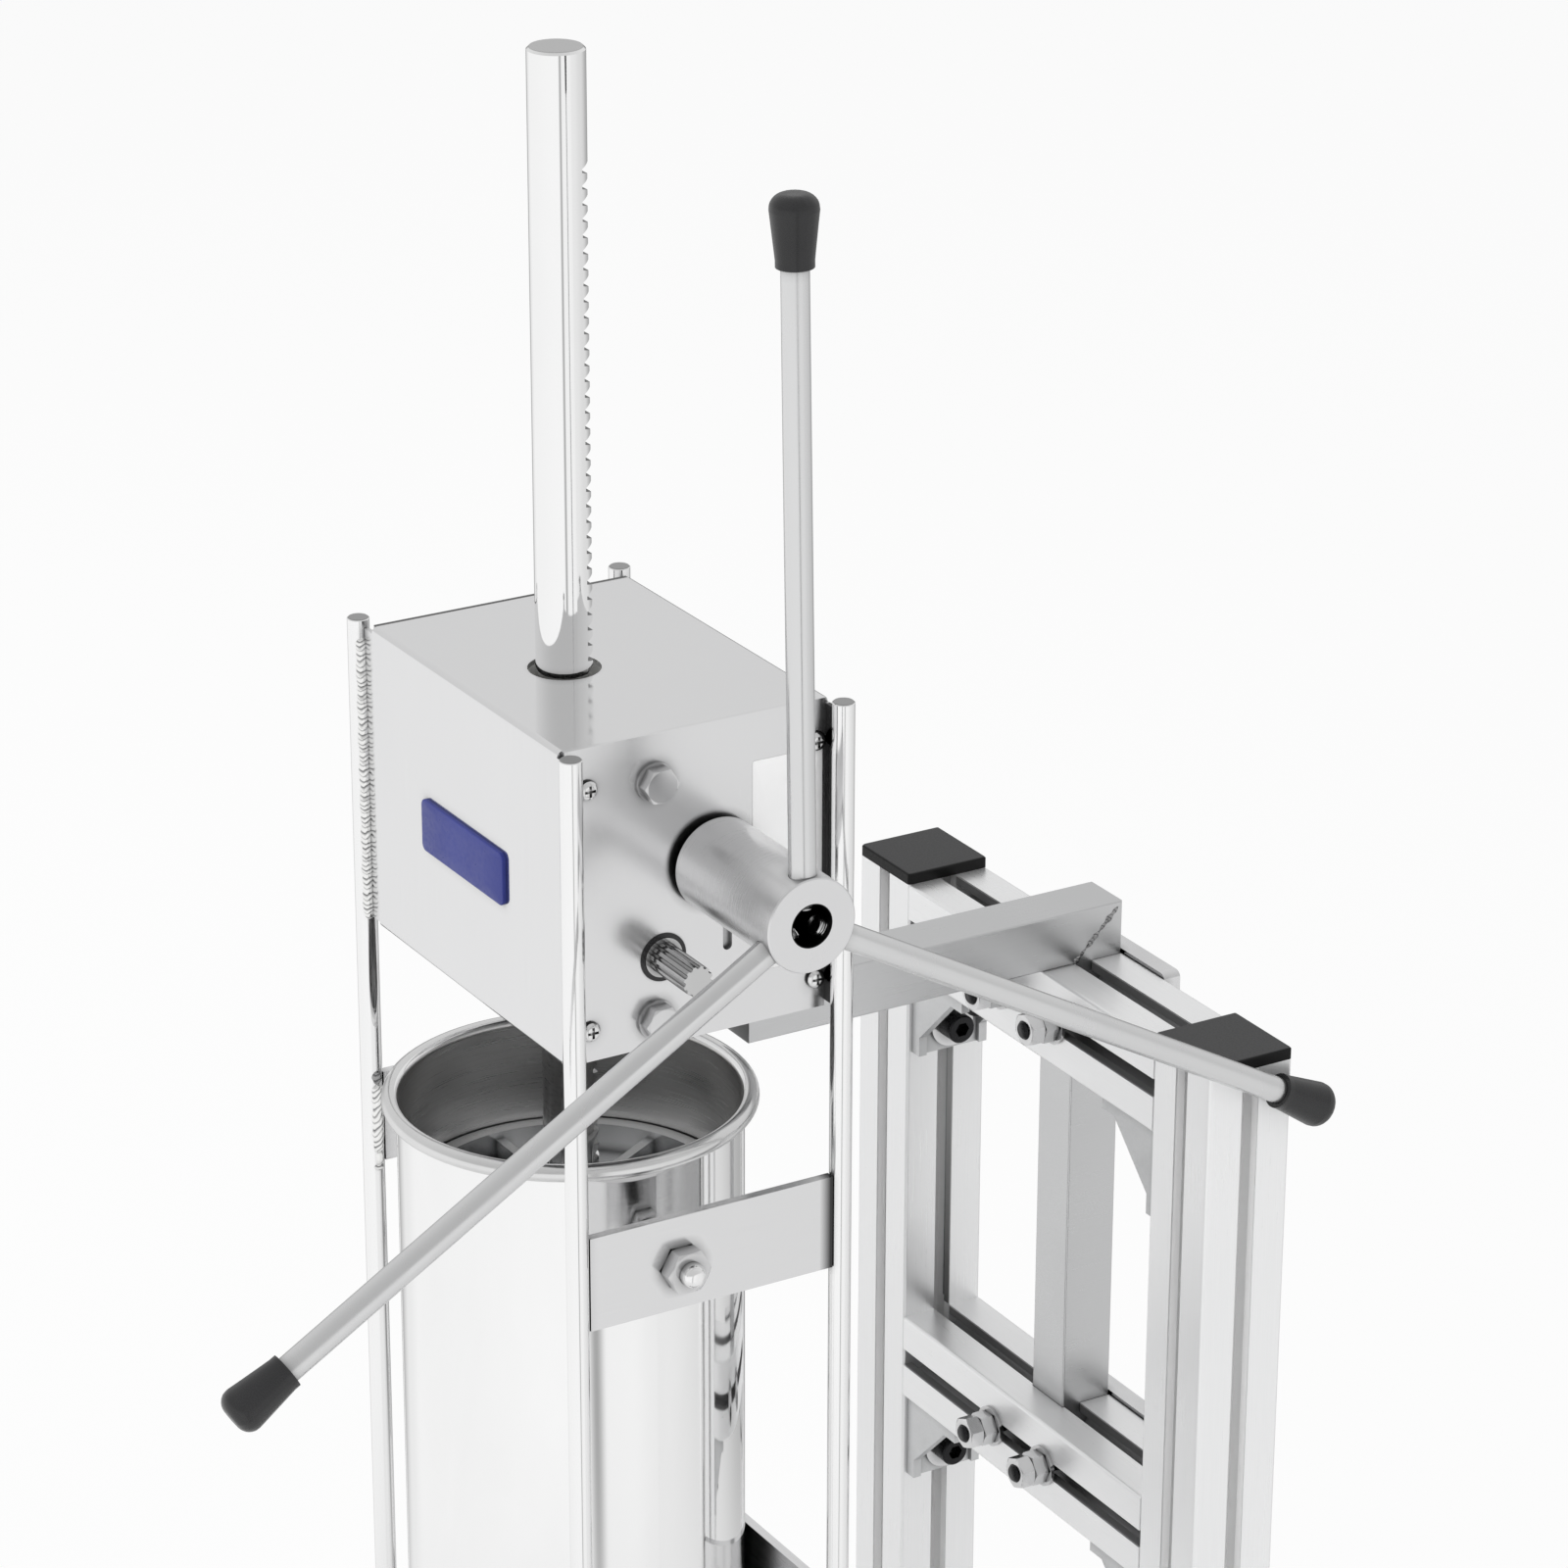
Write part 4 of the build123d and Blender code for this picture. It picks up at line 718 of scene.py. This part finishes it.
def rounded_plate(name, middle, right, size, thick, corner, finish, edge=0.4 * MM):
    """A thin upright plate with rounded corners and eased edges.

    Rows of the grid are one outline drawn in by the edge's rounding, then in to the middle;
    the outline is a rectangle whose corners are quarter circles."""
    middle, right, up = (np.asarray(value, float) for value in (middle, right, (0, 0, 1)))
    out = np.cross(right, up)
    width, height = size
    columns = 64
    turn = np.linspace(0, 2 * pi, columns, endpoint=False) + pi / columns
    corner_x = np.sign(np.cos(turn)) * (width / 2 - corner)
    corner_y = np.sign(np.sin(turn)) * (height / 2 - corner)
    wall = thick - edge
    rows = [(0.0, 0.0, 1.0), (0.0, wall, 1.0)]
    rows += [(edge * (1 - cos(a)), wall + edge * sin(a), 1.0) for a in (pi / 6, pi / 3, pi / 2)]
    rows += [(edge, thick, 0.5), (edge, thick, 0.0)]
    points = []
    for inset, level, share in rows:
        x = share * (corner_x + (corner - inset) * np.cos(turn))
        y = share * (corner_y + (corner - inset) * np.sin(turn))
        points.append(middle + x[:, None] * right + y[:, None] * up + level * out)
    return surface(name, [np.array(points)], finish, "frame", around=True)


# ---------------------------------------------------------------- pieces that only the scene has

WELD_OUT = (0.86, -0.51, 0.0)


def build_plates():
    """The plain blue plate on the box's front and the blank label on its cover."""
    middle = (machine_x, box_front, box_top - 68 * MM)
    size, thick, corner = (68 * MM, 22 * MM), 1.6 * MM, 3 * MM
    rounded_plate("front_plate", middle, (1, 0, 0), size, thick, corner, "badge_blue")
    middle = (cover_face, 40 * MM, box_top - 64 * MM)
    size, thick, corner, edge = (31 * MM, 88 * MM), 0.15 * MM, 1 * MM, 0.05 * MM
    rounded_plate("blank_label", middle, (0, 1, 0), size, thick, corner, "label_white", edge)


def rod_bead(name, step, top, bottom, finish, width, height, pitch, **form):
    """A bead down the side of the front left rod; its step from the rod's middle, its width, height
    and pitch are in millimetres."""
    x, y = middle_of("front_left_rod")[:2] + np.array(step) * MM
    bead(name, (x, y, top), (x, y, bottom), width * MM, height * MM, WELD_OUT, pitch * MM, finish,
         "polished_steel", **form)


def build_welds():
    """Weld beads: between the front left rod and the box, on the left strap's end and on the arm's
    mitre."""
    rod_bead("box_weld", (3.5, -0.75), box_top - 6 * MM, box_bottom + 1 * MM, "bright_weld",
             width=4.9, height=1.9, pitch=2.05, bow=1.1, wild=0.05, tip=0.1)
    low, high = low_of("left_strap")[2], high_of("left_strap")[2]
    at_strap = (3.6, 0.3)
    rod_bead("strap_weld", at_strap, high - 3 * MM, low + 5 * MM, "bright_weld",
             width=5.4, height=2.2, pitch=2.7, bow=1.5, wild=0.04, tip=0.25)
    rod_bead("strap_weld_start", at_strap, high + 3 * MM, high - 4 * MM, "dark_weld",
             width=4.6, height=1.9, pitch=2.9, wild=0.08)
    rod_bead("strap_weld_ledge", at_strap, low + 7 * MM, low - 1 * MM, "smooth_weld",
             width=4.6, height=1.5, pitch=12.0, wild=0.04)
    rod_bead("strap_weld_end", at_strap, low + 1.2 * MM, low - 3 * MM, "bright_weld",
             width=5.2, height=2.3, pitch=2.6, wild=0.05)
    arm_low, arm_high = low_of("arm"), high_of("arm")
    inner_corner, outer_corner, sunk = 23.5 * MM, 1.5 * MM, 0.25 * MM
    width, height, pitch = 2.2 * MM, 0.6 * MM, 1.7 * MM
    for side, side_name in ((-1, "left"), (1, "right")):
        face = (arm_high[0] if side > 0 else arm_low[0]) - side * sunk
        lower = (face, arm_high[1] - inner_corner, arm_high[2] - inner_corner)
        upper = (face, arm_high[1] - outer_corner, arm_high[2] - outer_corner)
        bead(f"arm_weld_{side_name}", lower, upper, width, height, (side, 0, 0), pitch,
             "dark_weld", "arm_steel", bow=0.5, wild=0.3)


def build_threads():
    """Threaded studs that hold the arm to the crossbars, in place of the plain ones."""
    low, high = low_of("clamp_studs"), high_of("clamp_studs")
    radius, pitch, bevel = 4 * MM, 1.25 * MM, 0.9 * MM
    places_x = (low[0] + radius, high[0] - radius)
    places_z = (low[2] + radius, high[2] - radius)
    starts = [(x, low[1], z) for x in places_x for z in places_z]
    studs = threaded_rods("threaded_studs", starts, (0, 1, 0), high[1] - low[1], radius, pitch,
                          "black_oxide", "frame", bevel)
    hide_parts("clamp_studs")


def build_spoke_ends():
    """The threaded ends of the spokes, which stand out into the hub's bore."""
    hub_middle = middle_of("hub")
    first, length = 5.4 * MM, 3.4 * MM
    radius, pitch, bevel = 4.3 * MM, 1.0 * MM, 0.5 * MM
    for name in ("upper_spoke", "front_spoke", "rear_spoke"):
        spoke_middle = middle_of(name)
        away = np.array([0.0, *(spoke_middle - hub_middle)[1:]])
        away /= np.linalg.norm(away)
        start = np.array([spoke_middle[0], *hub_middle[1:]]) + first * away
        threaded_rods(f"{name}_end", [start], away, length, radius, pitch, "spoke_steel", "handle",
                      bevel)


def build_slot_strip():
    """A strip behind the cover's small slot."""
    middle = (cover_face - 3.0 * MM, 13.3 * MM, 740 * MM)
    size, thick, corner = (9 * MM, 20 * MM), 1.0 * MM, 1 * MM
    rounded_plate("slot_strip", middle, (0, 1, 0), size, thick, corner, "arm_tube")


# ---------------------------------------------------------------- floor, light and camera

LEFT_OF_CAMERA = (-0.515, -0.857, 0.0)
AWAY_FROM_CAMERA = (-0.857, 0.515, 0.0)
# brightness at each share of a turn, which starts at the camera and goes round by its right
STUDIO_LEVELS = (
    (0.0, 1.0), (0.025, 1.0), (0.045, 0.4), (0.065, 0.95), (0.11, 0.96), (0.17, 0.88), (0.3, 0.76),
    (0.42, 0.45), (0.5, 0.22), (0.55, 0.4), (0.62, 0.88), (0.67, 0.97), (1.0, 1.0),
)
# each lamp's place, size and power
LAMPS = {
    "front_lamp": ((0.8, -2.4, 3.0), 2.2, 34.0),
    "left_lamp": ((-2.6, -0.9, 1.9), 1.8, 18.0),
    "right_lamp": ((2.8, 0.4, 2.2), 1.6, 24.0),
}
LAMP_AIM = Vector((0.0, 0.05, 0.75))
WORLD_LIGHT = 0.68  # the light that falls on the object from all sides
CEILING_NEAR_LEVEL = 0.60
CEILING_FAR_LEVEL = 0.78
CEILING_START = 0.25  # the height of a direction above which a mirror sees the ceiling alone
FLOOR_NEAR_LEVEL = 0.84
FLOOR_NEAR_END = 0.35  # how far from the object mirrors see a plain floor
FLOOR_FAR_START = 1.1  # and from where on they see the walls in it
FLOOR_WHITE = 0.86
FLOOR_GLOW = 0.88  # the share of plain white that the camera sees; the rest keeps the shadow
FLOOR_REACH = 30.0
CAMERA_PLACE = Vector((1.7527, -0.9581, 1.5901))
CAMERA_AIM = Vector((0.0269, 0.0642, 0.7482))
CAMERA_ROLL = radians(0.15)


def camera_rays(tree):
    """One where a ray comes straight from the camera and zero elsewhere."""
    return added(tree, "LightPath").outputs["Is Camera Ray"]


def mirror_rays(tree):
    """One where a ray comes from a reflection or from glass, and zero elsewhere."""
    path = added(tree, "LightPath").outputs
    return calculated(tree, "MAXIMUM", path["Is Glossy Ray"], path["Is Transmission Ray"])


def studio_shade(tree, vector):
    """The studio's brightness round the object, by compass direction: pale walls in front and at
    the left, a duller one at the right, and a dark opening behind that draws the rods' edges."""
    left = measured(tree, "DOT_PRODUCT", vector, LEFT_OF_CAMERA)
    away = measured(tree, "DOT_PRODUCT", vector, AWAY_FROM_CAMERA)
    turn = ranged(tree, calculated(tree, "ARCTAN2", left, away), 0.0, 1.0, start=-pi, end=pi)
    ramp = added(tree, "ValToRGB", Fac=turn)
    ramp.color_ramp.interpolation = "EASE"
    for place, _ in STUDIO_LEVELS[1:-1]:
        ramp.color_ramp.elements.new(place)
    for element, (place, level) in zip(ramp.color_ramp.elements, STUDIO_LEVELS):
        element.position = place
        element.color = (*grey(level), 1.0)
    return ramp.outputs["Color"]


def build_floor():
    """A plain white floor that keeps a soft shadow; mirrors see the studio's walls in it."""
    mesh = bpy.data.meshes.new("floor")
    turns = ((-1, -1), (1, -1), (1, 1), (-1, 1))
    corners = [(x * FLOOR_REACH, y * FLOOR_REACH, 0.0) for x, y in turns]
    mesh.from_pydata(corners, [], [(0, 1, 2, 3)])
    floor = bpy.data.objects.new("floor", mesh)
    bpy.context.scene.collection.objects.link(floor)
    material, tree, shader = finish_base("floor_white", grey(FLOOR_WHITE), 0.0, 0.9)
    place = own_place(tree)
    far = eased(tree, measured(tree, "LENGTH", place), FLOOR_NEAR_END, FLOOR_FAR_START)
    mirrored = mixed(tree, far, FLOOR_NEAR_LEVEL, studio_shade(tree, place))
    mirrors = mirror_rays(tree)
    glow = added(tree, "Emission", Color=mixed(tree, mirrors, 1.0, mirrored))
    seen = calculated(tree, "MULTIPLY_ADD", camera_rays(tree), FLOOR_GLOW, mirrors)
    mix = added(tree, "MixShader", Fac=seen)
    fill(tree, mix.inputs[1], shader.outputs["BSDF"])
    fill(tree, mix.inputs[2], glow.outputs["Emission"])
    feed(tree, tree.nodes["Material Output"], Surface=mix.outputs["Shader"])
    mesh.materials.append(material)


def build_world():
    """A white surround for the camera, the studio's walls and ceiling for mirrors and pale light
    elsewhere. The ceiling is duller on the camera's side."""
    world = bpy.data.worlds.new("studio")
    bpy.context.scene.world = world
    world.use_nodes = True
    tree = world.node_tree
    place = added(tree, "TexCoord").outputs["Generated"]
    height = added(tree, "SeparateXYZ", Vector=place).outputs["Z"]
    above = eased(tree, height, 0.0, CEILING_START)
    behind = eased(tree, measured(tree, "DOT_PRODUCT", place, AWAY_FROM_CAMERA), -1.0, 0.8)
    ceiling = mixed(tree, behind, CEILING_NEAR_LEVEL, CEILING_FAR_LEVEL)
    mirrored = mixed(tree, above, studio_shade(tree, place), ceiling)
    lit = mixed(tree, mirror_rays(tree), WORLD_LIGHT, mirrored)
    shown = mixed(tree, camera_rays(tree), lit, 1.0)
    feed(tree, tree.nodes["Background"], Color=shown)


def turned_to(place, aim):
    """The turn of a lamp or camera that looks from a place at an aim."""
    return (aim - place).to_track_quat("-Z", "Y")


def build_lamps():
    """Soft square lamps that mirrors don't show, high in front, at the left and at the right."""
    for name, (place, size, power) in LAMPS.items():
        data = bpy.data.lights.new(name, "AREA")
        data.energy = power
        data.size = size
        light = bpy.data.objects.new(name, data)
        light.location = place
        light.rotation_euler = turned_to(Vector(place), LAMP_AIM).to_euler()
        light.visible_glossy = False
        bpy.context.scene.collection.objects.link(light)


def build_camera():
    """The camera at the photograph's place, with a long lens."""
    data = bpy.data.cameras.new("camera")
    data.sensor_width = 36.0
    data.lens = 126.25
    data.shift_y = 0.0421
    camera = bpy.data.objects.new("camera", data)
    turned = turned_to(CAMERA_PLACE, CAMERA_AIM).to_matrix() @ Matrix.Rotation(CAMERA_ROLL, 3, "Z")
    camera.location = CAMERA_PLACE
    camera.rotation_euler = turned.to_euler()
    bpy.context.scene.collection.objects.link(camera)
    bpy.context.scene.camera = camera


dress_nodes()
build_plates()
build_welds()
build_threads()
build_spoke_ends()
build_slot_strip()
build_floor()
build_world()
build_lamps()
build_camera()
bpy.context.scene.view_settings.view_transform = "Standard"
